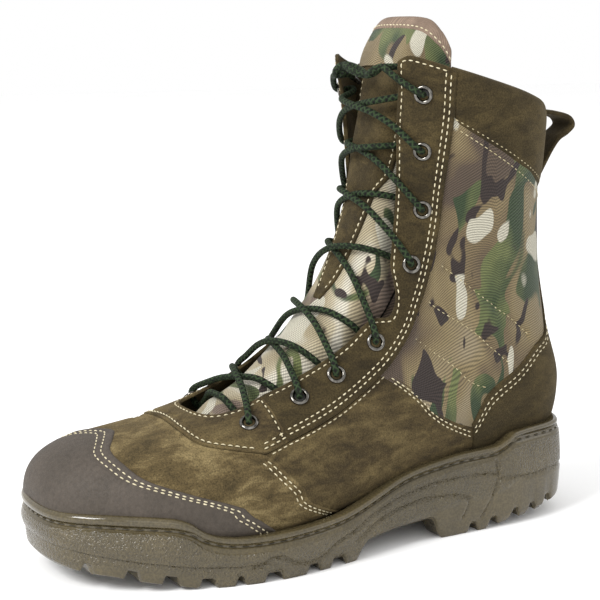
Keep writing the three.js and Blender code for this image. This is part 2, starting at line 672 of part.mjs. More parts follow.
// The tongue rises to its crown between the eyestays, 9 to 23 degrees either side of its middle.
const crownShare = (t, phi) => smooth((t - 6) / 1.2) * (1 - smooth((Math.abs(phi) - 9) / 14));
const tongueFace = (t, phi) => lerp(TONGUE_UNDER, TONGUE_CROWN, crownShare(t, phi));
const OVERLAY_THICKNESS = 0.9;
const OVERLAY_GAP = 1.8; // room for the faceted bend of the overlay over the cloth
const clothFace = (t, phi) => tongueFace(t, phi) - OVERLAY_THICKNESS - OVERLAY_GAP;
const TONGUE_FOOT = 4.75;
const TONGUE_FOLD = 14.95;
const tongueSide = (side) => seamUp(tongueHalf, TONGUE_FOOT, TONGUE_FOLD, side);
const tongueBody = [clothFace, (t, phi) => clothFace(t, phi) - TONGUE_THICKNESS];
addPiece("tongue", panel(tongueSide(-1), tongueSide(1), 15, 8, tongueBody), CAMO_CLOTH);
const PAD_THICKNESS = 3;
const PAD_GAP = 1.5;
const padFace = (t, phi) => clothFace(t, phi) - TONGUE_THICKNESS - PAD_GAP;
const padHalf = (t) => tongueHalf(t) - 7;
const padSide = (side) => seamUp(padHalf, 6.2, 14.8, side);
const padBody = [padFace, (t, phi) => padFace(t, phi) - PAD_THICKNESS];
addPiece("tongue_padding", panel(padSide(-1), padSide(1), 12, 6, padBody), WADDING);
const overlayHalf = through([[8, 2], [8.6, 8], [9.6, 11], [10.6, 15], [11.4, 22], [14.9, 22]]);
const overlaySide = (side) => seamUp(overlayHalf, 8.05, 14.8, side);
const overlayBody = [tongueFace, (t, phi) => tongueFace(t, phi) - OVERLAY_THICKNESS];
addPiece("tongue_overlay", panel(overlaySide(-1), overlaySide(1), 14, 4, overlayBody), SUEDE);

// Bellows that join the tongue to the eyestays on each side.
const gussetLine = (seam, offset) => (u) => {
  const t = lerp(6.4, 12.8, u);
  return [t, seam(t) + offset];
};
const gussetIn = gussetLine(tongueHalf, 1.5);
const gussetOut = gussetLine(stayRear, 1);
for (const [side, name] of sides) {
  const lines = [gussetIn, gussetOut].map((line) => (side > 0 ? line : mirrored(line)));
  addPiece(`gusset_${name}`, panel(...lines, 9, 1, [-9.2, -9.9]), CAMO_CLOTH);
}

// Free top of the tongue, which folds forward, with tape round its rim.
const TOP_FACE = -5;
const TOP_THICKNESS = 4;
const FLAP_SIDE = 60;
const flapTop = (phi) => 15.15 + 1.45 * Math.sqrt(Math.max(1 - (phi / (FLAP_SIDE + 4)) ** 2, 0));
const flapFoot = (u) => [TONGUE_FOLD + 0.12, lerp(-FLAP_SIDE, FLAP_SIDE, u)];
const flapRim = (u) => [flapTop(lerp(-FLAP_SIDE, FLAP_SIDE, u)), lerp(-FLAP_SIDE, FLAP_SIDE, u)];
const flapHeights = (proud) => [TOP_FACE + proud, TOP_FACE - TOP_THICKNESS - proud];
addPiece("tongue_top", panel(flapFoot, flapRim, 16, 3, flapHeights(0)), CAMO_CLOTH);
const bindingRim = (u) => [flapRim(u)[0] + 0.14, flapRim(u)[1]];
const rimTape = panel(flapRim, bindingRim, 16, 1, flapHeights(0.5), { trim: 0.15 });
addPiece("tongue_binding", rimTape, BINDING_TAPE);

// ---------------------------------------------------------------- lace
const EYELET_MOUTH = -2.9; // height of the lace where it enters an eyelet from behind
// Place of the lace between two spots of the form: share of the way and height.
const between = (a, b, share, height) =>
  onForm(lerp(a[0], b[0], share), lerp(a[1], b[1], share), height);
const stepFrom = (a, b, distance) => distance / formPoint(...a).distanceTo(formPoint(...b));
const shareAt = (a, b, phi) => (phi - a[1]) / (b[1] - a[1]);

// Up through eyelet a, over the tongue at the given height, under the far eyestay and up through b.
const crossing = (a, b, height) => {
  const side = Math.sign(a[1]);
  const far = stepFrom(a, b, 1);
  const frontNear = shareAt(a, b, side * stayFront(Math.max(a[0], STAY_FOOT)));
  const frontFar = shareAt(a, b, -side * stayFront(Math.max(b[0], STAY_FOOT)));
  const middle = shareAt(a, b, 0);
  const rise = lerp(height, 2.6, 0.55);
  const fall = height === LACE_CROSS_HIGH ? 2.6 : 0.4;
  const route = [
    [1.2 * far, 3.2],
    [4.4 * far, 4.1],
    [frontNear, 3.2],
    [lerp(frontNear, middle, 0.55), rise],
    [middle, height],
    [lerp(frontFar, middle, 0.55), fall],
    [frontFar - 5 * far, -1.6],
    [frontFar - 1.4 * far, -4.4],
    [frontFar + 3 * far, LACE_UNDER],
    [1 - 3.8 * far, LACE_UNDER],
    [1 - 1.3 * far, LACE_UNDER + 0.6],
  ];
  const places = route.map(([share, lift]) => between(a, b, share, lift));
  return [onForm(...a, -1), onForm(...a, 1.4), ...places, onForm(...b, EYELET_MOUTH)];
};

// Straight run behind the facing between the two lowest eyelets.
const bottomBar = () => {
  const [a, b] = [spotOn(-1, 0), spotOn(1, 0)];
  const far = stepFrom(a, b, 1);
  const middle = [3.8 * far, 0.25, 0.4, 0.5, 0.6, 0.75, 1 - 3.8 * far];
  return [
    onForm(...a, EYELET_MOUTH),
    between(a, b, 1.3 * far, LACE_UNDER + 0.6),
    ...middle.map((share) => between(a, b, share, LACE_UNDER)),
    between(a, b, 1 - 1.3 * far, LACE_UNDER + 0.6),
    onForm(...b, EYELET_MOUTH),
  ];
};

// The two ends leave the top eyelets, twist once round each other and tuck behind the far eyestay.
const TUCK_END = 39;
const TUCKED = -6;
const TWIST = { t: 14.55, rise: 3.4, radius: 2.35, half: 20, points: 6, pitch: 17 }; // pitch: mm per t
const tuckLine = (side) => TWIST.t - side * 0.14;
const tuckedEnd = (side) => {
  const a = spotOn(side, EYELETS.length - 1);
  const b = [TWIST.t, side * (TWIST.half + 4)];
  const far = stepFrom(a, b, 1);
  const start = [
    onForm(...a, -1),
    onForm(...a, 1.4),
    between(a, b, 1.2 * far, 3.1),
    between(a, b, 4.4 * far, 3.9),
    between(a, b, 0.7, 3.2),
  ];
  const twist = [];
  for (let k = 0; k <= TWIST.points; k++) {
    const angle = Math.PI * (0.5 + (3 * k) / TWIST.points);
    const phi = side * lerp(TWIST.half, -TWIST.half, k / TWIST.points);
    const offset = TWIST.radius * Math.sin(angle) * side;
    const lift = TWIST.rise + TWIST.radius * Math.cos(angle) * side;
    twist.push(onForm(TWIST.t + offset / TWIST.pitch, phi, lift));
  }
  const tuck = [[24, -1.6], [28, -4.6], [33, -5.6], [TUCK_END, TUCKED]];
  return [...start, ...twist, ...tuck.map(([phi, height]) => onForm(tuckLine(side), -side * phi, height))];
};

const laceHalf = (side) => {
  const points = [];
  const height = side > 0 ? LACE_CROSS_HIGH : LACE_CROSS_LOW;
  for (let k = 0; k < EYELETS.length - 1; k++) {
    const near = k % 2 ? -side : side;
    points.push(...crossing(spotOn(near, k), spotOn(-near, k + 1), height));
  }
  const last = (EYELETS.length - 1) % 2 ? -side : side;
  return [...points, ...tuckedEnd(last)];
};

const tubeAlong = (points, radius, segments) => {
  const path = new THREE.CatmullRomCurve3(points, false, "centripetal");
  path.getUtoTmapping = (u) => u;
  const section = new THREE.Shape();
  for (let k = 0; k < segments; k++) {
    const angle = (2 * Math.PI * k) / segments;
    section[k ? "lineTo" : "moveTo"](radius * Math.cos(angle), radius * Math.sin(angle));
  }
  return new THREE.ExtrudeGeometry(section, { steps: points.length - 1, extrudePath: path });
};
const laceRoute = [...laceHalf(-1).reverse(), ...bottomBar(), ...laceHalf(1)];
addPiece("lace", tubeAlong(laceRoute, LACE_RADIUS, LACE_FACETS), LACE_CORD);

const AGLET_TIP = 54; // angle at which a tucked aglet ends
const AGLET_SINK = 1.2; // its tip lies this much deeper than the lace
const buildAglet = (side) => {
  const t = tuckLine(side);
  const start = onForm(t, -side * TUCK_END, TUCKED);
  const end = onForm(t, -side * AGLET_TIP, TUCKED - AGLET_SINK);
  const direction = end.clone().sub(start).normalize();
  start.addScaledVector(direction, 2 * FIT);
  const centre = start.clone().lerp(end, 0.5);
  const sleeve = new THREE.CylinderGeometry(1.4, 1.7, end.distanceTo(start), 8);
  return sleeve.applyQuaternion(turnTo(direction)).translate(...centre.toArray());
};
addPiece("aglet_1", buildAglet(1), PLASTIC);
addPiece("aglet_2", buildAglet(-1), PLASTIC);

// ---------------------------------------------------------------- side zip
// The zip is straight.  Its frame has +Z up the zip, +Y rearwards and +X into the boot.
const behindShell = (t) => onForm(t, innerAngleAt(t, along(ZIP_LINE_Y)), SHELL[1]);
const zipFootSection = (() => {
  let [low, high] = [8, COLLAR_TOP];
  for (let step = 0; step < 30; step++) {
    const middle = (low + high) / 2;
    if (behindShell(middle).z < upward(ZIP_BOTTOM)) low = middle;
    else high = middle;
  }
  return low;
})();
const zipFoot = behindShell(zipFootSection);
const zipHead = behindShell(COLLAR_TOP);
const zip = new THREE.Group();
zip.position.set(zipFoot.x, along(ZIP_LINE_Y), zipFoot.z);
zip.rotation.y = Math.atan2(zipHead.x - zipFoot.x, zipHead.z - zipFoot.z);
boot.add(zip);
const ZIP_LENGTH = zipHead.distanceTo(zipFoot) - 4;
const TAPE_DEPTH = 3.3; // middle of the tapes, behind the inner face of the panels
const TAPE_WIDTH = 9;
const TAPE_THICKNESS = 0.8;
const TOOTH_DEPTH = 2.2; // front to back
const zipBox = (dx, dy, dz, x, y, z) => new THREE.BoxGeometry(dx, dy, dz).translate(x, y, z);

for (const [side, name] of [[-1, "front"], [1, "rear"]]) {
  const tapeY = side * (ZIP_GAP / 2 + TAPE_WIDTH / 2);
  const teethY = (side * (ZIP_GAP + ZIP_CHAIN)) / 2;
  const tape = zipBox(TAPE_THICKNESS, TAPE_WIDTH, ZIP_LENGTH, TAPE_DEPTH, tapeY, ZIP_LENGTH / 2);
  const teeth = zipBox(TOOTH_DEPTH, ZIP_CHAIN, ZIP_LENGTH, TAPE_DEPTH, teethY, ZIP_LENGTH / 2);
  addPiece(`zip_tape_${name}`, toGeometry(toSolid(tape).add(toSolid(teeth))), PLASTIC, zip);
}
const STOP_HEIGHT = 3;
const stop = zipBox(TOOTH_DEPTH, 6, STOP_HEIGHT, TAPE_DEPTH, 0, -STOP_HEIGHT / 2 - FIT);
addPiece("zip_bottom_stop", stop, DARK_NICKEL, zip);

// Slider: a plate before and a plate behind the teeth, a neck between the two rows, and an arch
// in front that holds the pull.
const SLIDER_REST = ZIP_LENGTH - 10; // height of its middle with the zip closed
const TEETH_FRONT = TAPE_DEPTH - TOOTH_DEPTH / 2;
const TEETH_BACK = TAPE_DEPTH + TOOTH_DEPTH / 2;
const SLIDER_PLATE = 1.4;
const SLIDER_BACK = 1;
const SLIDER_LENGTH = 12;
const SLIDER_FACE = TEETH_FRONT - FIT - SLIDER_PLATE; // outer face of the front plate
const ARCH = { width: 1.8, length: 10.4, post: 1.6, clear: 2.2, rail: 1.2 };
const sliderBody = () => {
  const neckDepth = SLIDER_PLATE + SLIDER_BACK + TOOTH_DEPTH;
  const postX = SLIDER_FACE - ARCH.clear / 2;
  const postZ = (ARCH.length - ARCH.post) / 2;
  const blocks = [
    zipBox(SLIDER_PLATE, 8.6, SLIDER_LENGTH, TEETH_FRONT - FIT - SLIDER_PLATE / 2, 0, 0),
    zipBox(neckDepth, ZIP_GAP - 2 * FIT, 8, TAPE_DEPTH, 0, 0),
    zipBox(SLIDER_BACK, 7.6, SLIDER_LENGTH, TEETH_BACK + FIT + SLIDER_BACK / 2, 0, 0),
    zipBox(ARCH.clear + 1, ARCH.width, ARCH.post, postX, 0, postZ),
    zipBox(ARCH.clear + 1, ARCH.width, ARCH.post, postX, 0, -postZ),
    zipBox(ARCH.rail, ARCH.width, ARCH.length, SLIDER_FACE - ARCH.clear - ARCH.rail / 2, 0, 0),
  ];
  return toGeometry(blocks.map(toSolid).reduce((a, b) => a.add(b))).translate(0, 0, SLIDER_REST);
};
addPiece("zip_slider", sliderBody(), DARK_NICKEL, zip);

// Pull tab: a tapered plate whose top bar turns under the arch.  It hangs straight down.
const PULL_THICKNESS = 1.1;
const PULL_PIVOT = { depth: 1.15, below: 1.5 }; // before the plate and below the slider's middle
const pullTab = () => {
  const bar = PULL_THICKNESS / 2;
  const corners = [[-2.7, bar], [2.7, bar], [3.3, -8], [2.5, -21], [0, -22.5], [-2.5, -21], [-3.3, -8]];
  const tab = new THREE.Shape(corners.map(([y, z]) => new THREE.Vector2(y, z)));
  const window = [[-1.3, -bar], [-1.3, -6], [1.3, -6], [1.3, -bar]];
  tab.holes.push(new THREE.Path(window.map(([y, z]) => new THREE.Vector2(y, z))));
  const plate = new THREE.ExtrudeGeometry(tab, { depth: PULL_THICKNESS, bevelEnabled: false });
  const upright = new THREE.Matrix4().makeBasis(
    new THREE.Vector3(0, 1, 0), new THREE.Vector3(0, 0, 1), new THREE.Vector3(1, 0, 0),
  );
  return plate.applyMatrix4(upright).translate(-bar, 0, 0);
};
const pullPivot = new THREE.Group();
pullPivot.position.set(SLIDER_FACE - PULL_PIVOT.depth, 0, SLIDER_REST - PULL_PIVOT.below);
pullPivot.rotation.y = -zip.rotation.y;
zip.add(pullPivot);
addPiece("zip_pull", pullTab(), DARK_NICKEL, pullPivot);

// Cloth guard behind the zip.
const GUARD_HALF = 15;
const guardLine = (offset) => (u) => {
  const t = lerp(zipFootSection + 0.07, 14.6, u);
  return [t, innerAngleAt(t, along(ZIP_LINE_Y) + offset)];
};
const guard = panel(guardLine(-GUARD_HALF), guardLine(GUARD_HALF), 7, 3, [-9.1, -9.9]);
addPiece("zip_gusset", guard, CAMO_CLOTH);

// ---------------------------------------------------------------- pull loop
const backAt = (z) => {
  let [low, high] = [11, COLLAR_TOP];
  for (let step = 0; step < 30; step++) {
    const middle = (low + high) / 2;
    if (formPoint(middle, 180).z < z) low = middle;
    else high = middle;
  }
  return formPoint(low, 180).y;
};
const LOOP_STANDOFF = 3.4; // middle of the strap's sewn ends, behind the collar
const loopPath = () => {
  const [top, foot] = [PULL_LOOP_TOP, PULL_LOOP_FOOT].map(upward);
  const [backTop, backFoot] = [top, foot].map(backAt);
  return [
    [backTop + LOOP_STANDOFF, top],
    [backTop + 14, top - 1],
    [backTop + 24, top - 6],
    [backTop + 22, top - 13],
    [backTop + 14, top - 17],
    [backFoot + 8, foot + 12],
    [backFoot + LOOP_STANDOFF, foot],
  ];
};
const buildPullLoop = () => {
  const points = loopPath().map(([y, z]) => new THREE.Vector3(0, y, z));
  const path = new THREE.CatmullRomCurve3(points, false, "centripetal");
  const outer = [];
  const inner = [];
  const steps = 20;
  for (let k = 0; k <= steps; k++) {
    const point = path.getPointAt(k / steps);
    const tangent = path.getTangentAt(k / steps);
    const out = new THREE.Vector3(0, -tangent.z, tangent.y).multiplyScalar(STRAP_THICKNESS / 2);
    const row = (offset) => [-1, 1].map((side) => {
      const corner = point.clone().add(offset);
      return corner.setX((side * PULL_LOOP_WIDTH) / 2);
    });
    outer.push(row(out));
    inner.push(row(out.clone().negate()));
  }
  return sheet(outer, inner);
};
addPiece("pull_loop", buildPullLoop(), SUEDE);

// ---------------------------------------------------------------- stand the boot on the origin
boot.updateMatrixWorld(true);
const box = new THREE.Box3().setFromObject(boot);
const middle = box.getCenter(new THREE.Vector3());
boot.position.set(-middle.x, -middle.y, -box.min.z);

export default boot;
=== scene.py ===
"""Looks of an insulated lace-up field boot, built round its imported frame.

Every shape is a function of two parameters on the boot's form, in millimetres, and goes into the
frame in metres.  The toe points towards -Y and the outer (lateral) side towards +X.
"""
import logging
import math
from dataclasses import dataclass, field
from enum import Enum
from functools import lru_cache, partial
from typing import Callable, Dict, List, Optional, Sequence, Tuple, Union

import bmesh
import bpy
import numpy as np
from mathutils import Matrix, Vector


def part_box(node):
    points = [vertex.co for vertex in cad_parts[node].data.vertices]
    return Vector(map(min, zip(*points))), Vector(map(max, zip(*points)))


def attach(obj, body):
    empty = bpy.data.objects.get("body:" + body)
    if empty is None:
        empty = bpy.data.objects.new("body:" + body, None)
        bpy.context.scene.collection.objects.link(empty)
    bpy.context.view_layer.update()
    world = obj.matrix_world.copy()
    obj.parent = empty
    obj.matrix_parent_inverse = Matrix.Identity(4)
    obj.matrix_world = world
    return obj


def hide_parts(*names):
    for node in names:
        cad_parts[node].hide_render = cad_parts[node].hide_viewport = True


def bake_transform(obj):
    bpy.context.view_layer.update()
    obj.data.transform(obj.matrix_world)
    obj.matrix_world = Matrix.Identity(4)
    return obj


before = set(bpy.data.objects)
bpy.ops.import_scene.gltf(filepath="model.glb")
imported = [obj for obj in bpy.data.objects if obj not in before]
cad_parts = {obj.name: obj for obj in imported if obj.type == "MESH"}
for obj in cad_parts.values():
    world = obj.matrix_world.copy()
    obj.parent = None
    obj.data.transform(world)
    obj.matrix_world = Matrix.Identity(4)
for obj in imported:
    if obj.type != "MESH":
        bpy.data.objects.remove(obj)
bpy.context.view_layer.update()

logging.basicConfig(level=logging.INFO, format="%(message)s")
log = logging.getLogger("boot")

Array = np.ndarray
Line = Callable[[Array], Array]
Height = Union[float, Callable[[Array, Array], Array]]
MM = 0.001

# ---------------------------------------------------------------- curves


def spline(rows: Sequence[Sequence[float]], u: Array) -> Array:
    """Uniform Catmull-Rom spline through rows of numbers.

    Args:
        rows: The rows that the curve passes through.
        u: Places on the curve, counted in rows.

    Returns:
        One interpolated row for each place.
    """
    table = np.asarray(rows, float)
    u = np.asarray(u, float)
    i = np.clip(np.floor(u).astype(int), 0, len(table) - 2)
    f = (u - i)[..., None]
    a, b, c, d = (table[np.clip(i + k, 0, len(table) - 1)] for k in (-1, 0, 1, 2))
    return b + 0.5 * f * (c - a + f * (2 * a - 5 * b + 4 * c - d + f * (3 * (b - c) + d - a)))


def through(knots: Sequence[Tuple[float, float]]) -> Callable[[Array], Array]:
    """Smooth curve through knots (x, value), held at its ends.

    Args:
        knots: Pairs of x and value in order of x.

    Returns:
        A function that reads the curve at x.
    """
    x, y = np.asarray(knots, float).T
    slope = np.gradient(y, x)
    slope[1:-1] = (y[2:] - y[:-2]) / (x[2:] - x[:-2])

    def read(at: Array) -> Array:
        """Cubic Hermite value between the two knots round each place."""
        at = np.clip(at, x[0], x[-1])
        i = np.clip(np.searchsorted(x, at, side="right") - 1, 0, len(x) - 2)
        span = x[i + 1] - x[i]
        f = (at - x[i]) / span
        rise = 3 * f**2 - 2 * f**3
        tangents = (f**3 - 2 * f**2 + f) * slope[i] + (f**3 - f**2) * slope[i + 1]
        return y[i] * (1 - rise) + y[i + 1] * rise + span * tangents

    return read


def smooth(x: Array) -> Array:
    """Smoothstep from 0 at x=0 to 1 at x=1."""
    x = np.clip(x, 0, 1)
    return x * x * (3 - 2 * x)


def lerp(a: Array, b: Array, f: Array) -> Array:
    """Straight blend from a to b."""
    return a + (b - a) * f


def edge(points: Sequence[Tuple[float, float]]) -> Line:
    """Line through points (t, angle), read by a share from 0 to 1."""
    return lambda u: spline(points, np.asarray(u) * (len(points) - 1))


def by_angle(seam: Callable[[Array], Array], start: float, end: float) -> Line:
    """Line along a seam that gives t by angle.

    Args:
        seam: The section by the angle.
        start: Angle where the line starts.
        end: Angle where it ends.

    Returns:
        The line.
    """

    def read(u: Array) -> Array:
        """Section and angle at each share."""
        phi = lerp(start, end, np.asarray(u, float))
        return np.stack([seam(np.abs(phi)), phi], -1)

    return read


def by_section(seam: Callable[[Array], Array], start: float, end: float, side: float = 1) -> Line:
    """Line along a seam that gives the angle by t.

    Args:
        seam: The angle by the section.
        start: Section where the line starts.
        end: Section where it ends.
        side: 1 on the outer side and -1 on the inner.

    Returns:
        The line.
    """

    def read(u: Array) -> Array:
        """Section and angle at each share."""
        t = lerp(start, end, np.asarray(u, float))
        return np.stack([t, side * seam(t)], -1)

    return read


def round_at(t: float, start: float, end: float) -> Line:
    """Line round the form at one section."""
    return by_angle(lambda phi: t + 0 * phi, start, end)


def mirrored(line: Line) -> Line:
    """The same line on the other side of the boot."""
    return lambda u: line(u) * np.array([1, -1])


def part(line: Line, low: float, high: float) -> Line:
    """The stretch of a line between two shares of it."""
    return lambda u: line(lerp(low, high, np.asarray(u, float)))


def reaching(line: Line) -> Line:
    """Line that runs straight on past its two ends.

    Args:
        line: The line, read from 0 to 1.

    Returns:
        The longer line.
    """
    step = 0.03
    start, near_start, near_end, end = line(np.array([0, step, 1 - step, 1]))

    def read(u: Array) -> Array:
        """The line itself, plus its end slope times how far u lies outside."""
        inside = np.clip(u, 0, 1)
        over = (np.asarray(u) - inside)[..., None]
        slope = np.where(over < 0, (near_start - start) / step, (end - near_end) / step)
        return line(inside) + over * slope

    return read


# ---------------------------------------------------------------- the foot form

@dataclass(frozen=True)
class Form:
    """The last and leg that the upper is cut for.

    Each row is a slanted section: front point (y, z), rear point (y, z), half-width on the outer
    and inner side, centre x, share of the depth where it is widest, and the two exponents that
    round its front and its rear.
    """

    rows: Tuple[Tuple[float, ...], ...] = (
        (-147, 30, -147, 28, 0, 0, -10, 0.62, 1, 0.6),
        (-148, 46, -143, 24, 22, 21, -10, 0.62, 0.92, 0.52),
        (-140, 58, -132, 21, 36, 34, -10, 0.62, 0.86, 0.48),
        (-121, 66, -114, 20, 47, 43, -8, 0.64, 0.85, 0.42),
        (-94, 71, -89, 19, 53, 48, -5, 0.66, 0.86, 0.4),
        (-65, 78, -59, 19, 56, 50, -2, 0.68, 0.88, 0.4),
        (-37, 90, -28, 20, 53, 47, 0, 0.68, 0.88, 0.42),
        (-12, 107, 6, 23, 48, 43, 0, 0.66, 0.86, 0.48),
        (8, 129, 48, 27, 43, 40, 0, 0.62, 0.82, 0.6),
        (22, 153, 102, 31, 41, 38, 0, 0.57, 0.78, 0.72),
        (31, 175, 150, 40, 40, 38, 0, 0.52, 0.76, 0.9),
        (36, 195, 161, 68, 41, 41, 0, 0.5, 0.76, 1),
        (38, 211, 150, 104, 44, 45, 0, 0.5, 0.75, 1),
        (38, 227, 143, 143, 47, 48, 0, 0.5, 0.75, 1),
        (37, 243, 140, 188, 50, 52, 0, 0.5, 0.75, 0.95),
        (35, 261, 143, 230, 51, 55, 0, 0.5, 0.75, 0.9),
        (38, 278, 146, 252, 51, 55, 0, 0.5, 0.75, 0.9),
        (44, 292, 150, 270, 50, 54, 0, 0.5, 0.75, 0.9),
    )

    def point(self, t: Array, phi: Array) -> Array:
        """Point of the form.

        The section t is read from the rows.  Round it, x follows the half-width times a power of
        the sine, and the depth from front to rear follows a power of the cosine.

        Args:
            t: Section, counted from the toe up to the collar.
            phi: Degrees from the front (0) over the outer side (90) to the rear (180).

        Returns:
            Points in millimetres.
        """
        t, phi = np.broadcast_arrays(np.asarray(t, float), np.asarray(phi, float))
        turn = (phi + 540) % 360 - 180
        columns = np.moveaxis(spline(self.rows, t), -1, 0)
        front_y, front_z, rear_y, rear_z, outer, inner, centre, widest, front, rear = columns
        angle = np.radians(np.abs(turn))
        is_front = angle <= np.pi / 2
        power = np.where(is_front, front, rear)
        c = np.abs(np.cos(angle)) ** power
        s = np.abs(np.sin(angle)) ** power
        depth = np.where(is_front, widest * (1 - c), widest + (1 - widest) * c)
        half = np.maximum(np.where(turn >= 0, outer, inner), 0)
        x = centre + np.sign(turn) * half * s
        y = front_y + (rear_y - front_y) * depth
        z = front_z + (rear_z - front_z) * depth
        return np.stack([x, y, z], -1)

    def normal(self, t: Array, phi: Array) -> Array:
        """Outward unit normal, from small steps along and round the form.

        Args:
            t: Section.
            phi: Angle in degrees.

        Returns:
            Unit vectors.
        """
        dt, dphi = 0.02, 0.5
        t = np.asarray(t, float)
        up = self.point(t + dt, phi) - self.point(np.maximum(t - dt, 0.001), phi)
        round_ = self.point(t, np.asarray(phi) + dphi) - self.point(t, np.asarray(phi) - dphi)
        normal = np.cross(round_, up)
        return normal / np.maximum(np.linalg.norm(normal, axis=-1, keepdims=True), 1e-9)

    def at(self, t: Array, phi: Array, height: Array) -> Array:
        """Point at a height over the form, along its normal."""
        height = np.asarray(height, float)
        return self.point(t, phi) + self.normal(t, phi) * height[..., None]

    def inner_angle(self, t: Array, y: float) -> Array:
        """Angle at which each section passes y on the inner side, found by halving.

        Args:
            t: Sections.
            y: Depth in millimetres.

        Returns:
            Angles in degrees.
        """
        low = np.full(np.shape(t), -20.0)
        high = np.full(np.shape(t), -170.0)
        for _ in range(30):
            middle = (low + high) / 2
            before = self.point(t, middle)[..., 1] < y
            low, high = np.where(before, middle, low), np.where(before, high, middle)
        return (low + high) / 2


FORM = Form()


def beside_zip(offset: float, start: float, end: float) -> Line:
    """Line along the zip at a distance from its middle, between two sections."""
    return by_section(lambda t: FORM.inner_angle(t, ZIP_LINE_Y + offset), start, end)


# ---------------------------------------------------------------- seam lines, as the frame has them
FEATHER = 136
CAP_EDGE = through(
    ((0, 3.55), (12, 3.33), (24, 3.14), (40, 3.18), (60, 3.45), (75, 4.1), (85, 4.7), (95, 5.2),
     (138, 5.7))
)
VAMP_REAR = through(
    ((0, 4.42), (20, 4.42), (39, 4.58), (53, 5.1), (62, 5.5), (80, 5.85), (105, 6.4), (138, 6.85))
)
STAY_FRONT = through(
    ((6, 24), (6.75, 31), (7.75, 41), (8.4, 45), (8.75, 53), (9.1, 50), (9.5, 39), (10.8, 31),
     (12.9, 27), (15, 29))
)
STAY_REAR = through(
    ((5.5, 61), (6, 61), (7.1, 66), (8.1, 69), (8.75, 67), (9.4, 63), (10.2, 60), (11.6, 61),
     (13.8, 67), (15, 69))
)
FEATHER_LINE = through(((0, 124), (1, 130), (3, 136), (7, 137), (8.8, 136)))
FACING_INNER = (
    (5.95, 24), (5.5, 23), (5.1, 18), (4.92, 8), (4.92, -8), (5.1, -18), (5.5, -23), (5.95, -24)
)
HEEL_TOP = (
    (9, 108), (9.45, 101), (10.1, 105), (10.9, 116), (11.6, 132), (12.5, 152), (13.8, 166),
    (13.8, 180)
)
HEEL_FOOT = (
    (8.82, 134), (8.95, 137), (9.05, 141), (9.2, 146), (9.4, 151), (9.65, 157), (9.95, 168),
    (10.1, 180)
)
FABRIC_CORNER = (8.18, 69)
COLLAR_SEAM = 13.85
COLLAR_TOP = 15.0
SHELL_EDGE = 61
EYELETS = (
    (5.48, 37.5), (6.5, 42), (7.3, 48.5), (8.25, 55), (9.8, 50), (11.1, 49), (12.7, 47), (14.2, 47)
)
ZIP_LINE_Y = 92.0
ZIP_WINDOW = 13.0
ZIP_CLEAR = 9.0  # quilting rows stop this far from the zip


class Level(Enum):
    """Heights of the outer faces over the form, in millimetres, lowest layer first."""

    CLOTH = 0.2
    QUARTER = 1.0
    VAMP = 1.7
    HEEL = 1.9
    STAY = 2.2
    FACING = 2.4
    CAP = 2.6


# ---------------------------------------------------------------- finishes

Socket = bpy.types.NodeSocket
Value = Union[float, str, Tuple[float, ...], Socket]
Stops = Tuple[Tuple[float, str], ...]
Adder = Callable[..., Socket]
BLACK, WHITE = "#000000", "#ffffff"
BLEND = {"data_type": "RGBA"}  # plain mix of two colours
MULTIPLY = {"data_type": "RGBA", "blend_type": "MULTIPLY"}  # darkens one colour by another
SOFT = {"Detail": 4, "Roughness": 0.6}  # usual break-up of a grain


def colour(code: str) -> Tuple[float, float, float, float]:
    """Linear colour of an sRGB hex value.

    Args:
        code: The colour as #rrggbb.

    Returns:
        Red, green, blue and an alpha of 1.
    """
    parts = [int(code[k : k + 2], 16) / 255 for k in (1, 3, 5)]
    linear = [c / 12.92 if c <= 0.04045 else ((c + 0.055) / 1.055) ** 2.4 for c in parts]
    return (*linear, 1.0)


def per_mm(size: float) -> float:
    """Texture scale on metre coordinates for a pattern of this size in millimetres."""
    return 1 / (size * MM)


def add_node(tree: bpy.types.NodeTree, kind: str, inputs: Dict[Union[int, str], Value],
             out: Union[int, str] = 0, stops: Stops = (), **settings: str) -> Socket:
    """Adds a node with its settings, values and links.

    Args:
        tree: The material's tree.
        kind: The node's type, without its prefix.
        inputs: Numbers, hex colours or sockets by input name or number.
        out: Number or name of the output that is wanted.
        stops: Places and hex colours, where the node has a ramp.
        **settings: Attributes of the node itself.

    Returns:
        The output socket.
    """
    node = tree.nodes.new("ShaderNode" + kind)
    for key, value in settings.items():
        setattr(node, key, value)
    for key, value in inputs.items():
        if isinstance(value, Socket):
            tree.links.new(value, node.inputs[key])
        else:
            node.inputs[key].default_value = colour(value) if isinstance(value, str) else value
    ramp = node.color_ramp.elements if stops else []
    while len(ramp) < len(stops):
        ramp.new(1.0)
    for element, (place, code) in zip(ramp, stops):
        element.position, element.color = place, colour(code)
    return node.outputs[out]


@dataclass(frozen=True)
class Finish:
    """A finish, named for the real material; each kind adds its own pattern."""

    name: str

    def pattern(self, add: Adder, place: Socket, surface: Socket) -> Dict[str, Value]:
        """Builds the nodes of the finish.

        Args:
            add: Adds a node to the material, as add_node does.
            place: Coordinates on the boot, in metres.
            surface: Coordinates laid flat on the piece, in metres.

        Returns:
            Values and sockets for the shader's inputs.
        """
        raise NotImplementedError


@lru_cache(maxsize=None)
def material(finish: Finish) -> bpy.types.Material:
    """The material of a finish, made once.

    Args:
        finish: The finish.

    Returns:
        Its material.
    """
    made = bpy.data.materials.new(finish.name)
    made.use_nodes = True
    tree = made.node_tree
    place = add_node(tree, "TexCoord", {}, out="Object")
    surface = place.node.outputs["UV"]
    shader = tree.nodes["Principled BSDF"]
    for key, value in finish.pattern(partial(add_node, tree), place, surface).items():
        if isinstance(value, Socket):
            tree.links.new(value, shader.inputs[key])
        else:
            shader.inputs[key].default_value = colour(value) if isinstance(value, str) else value
    return made


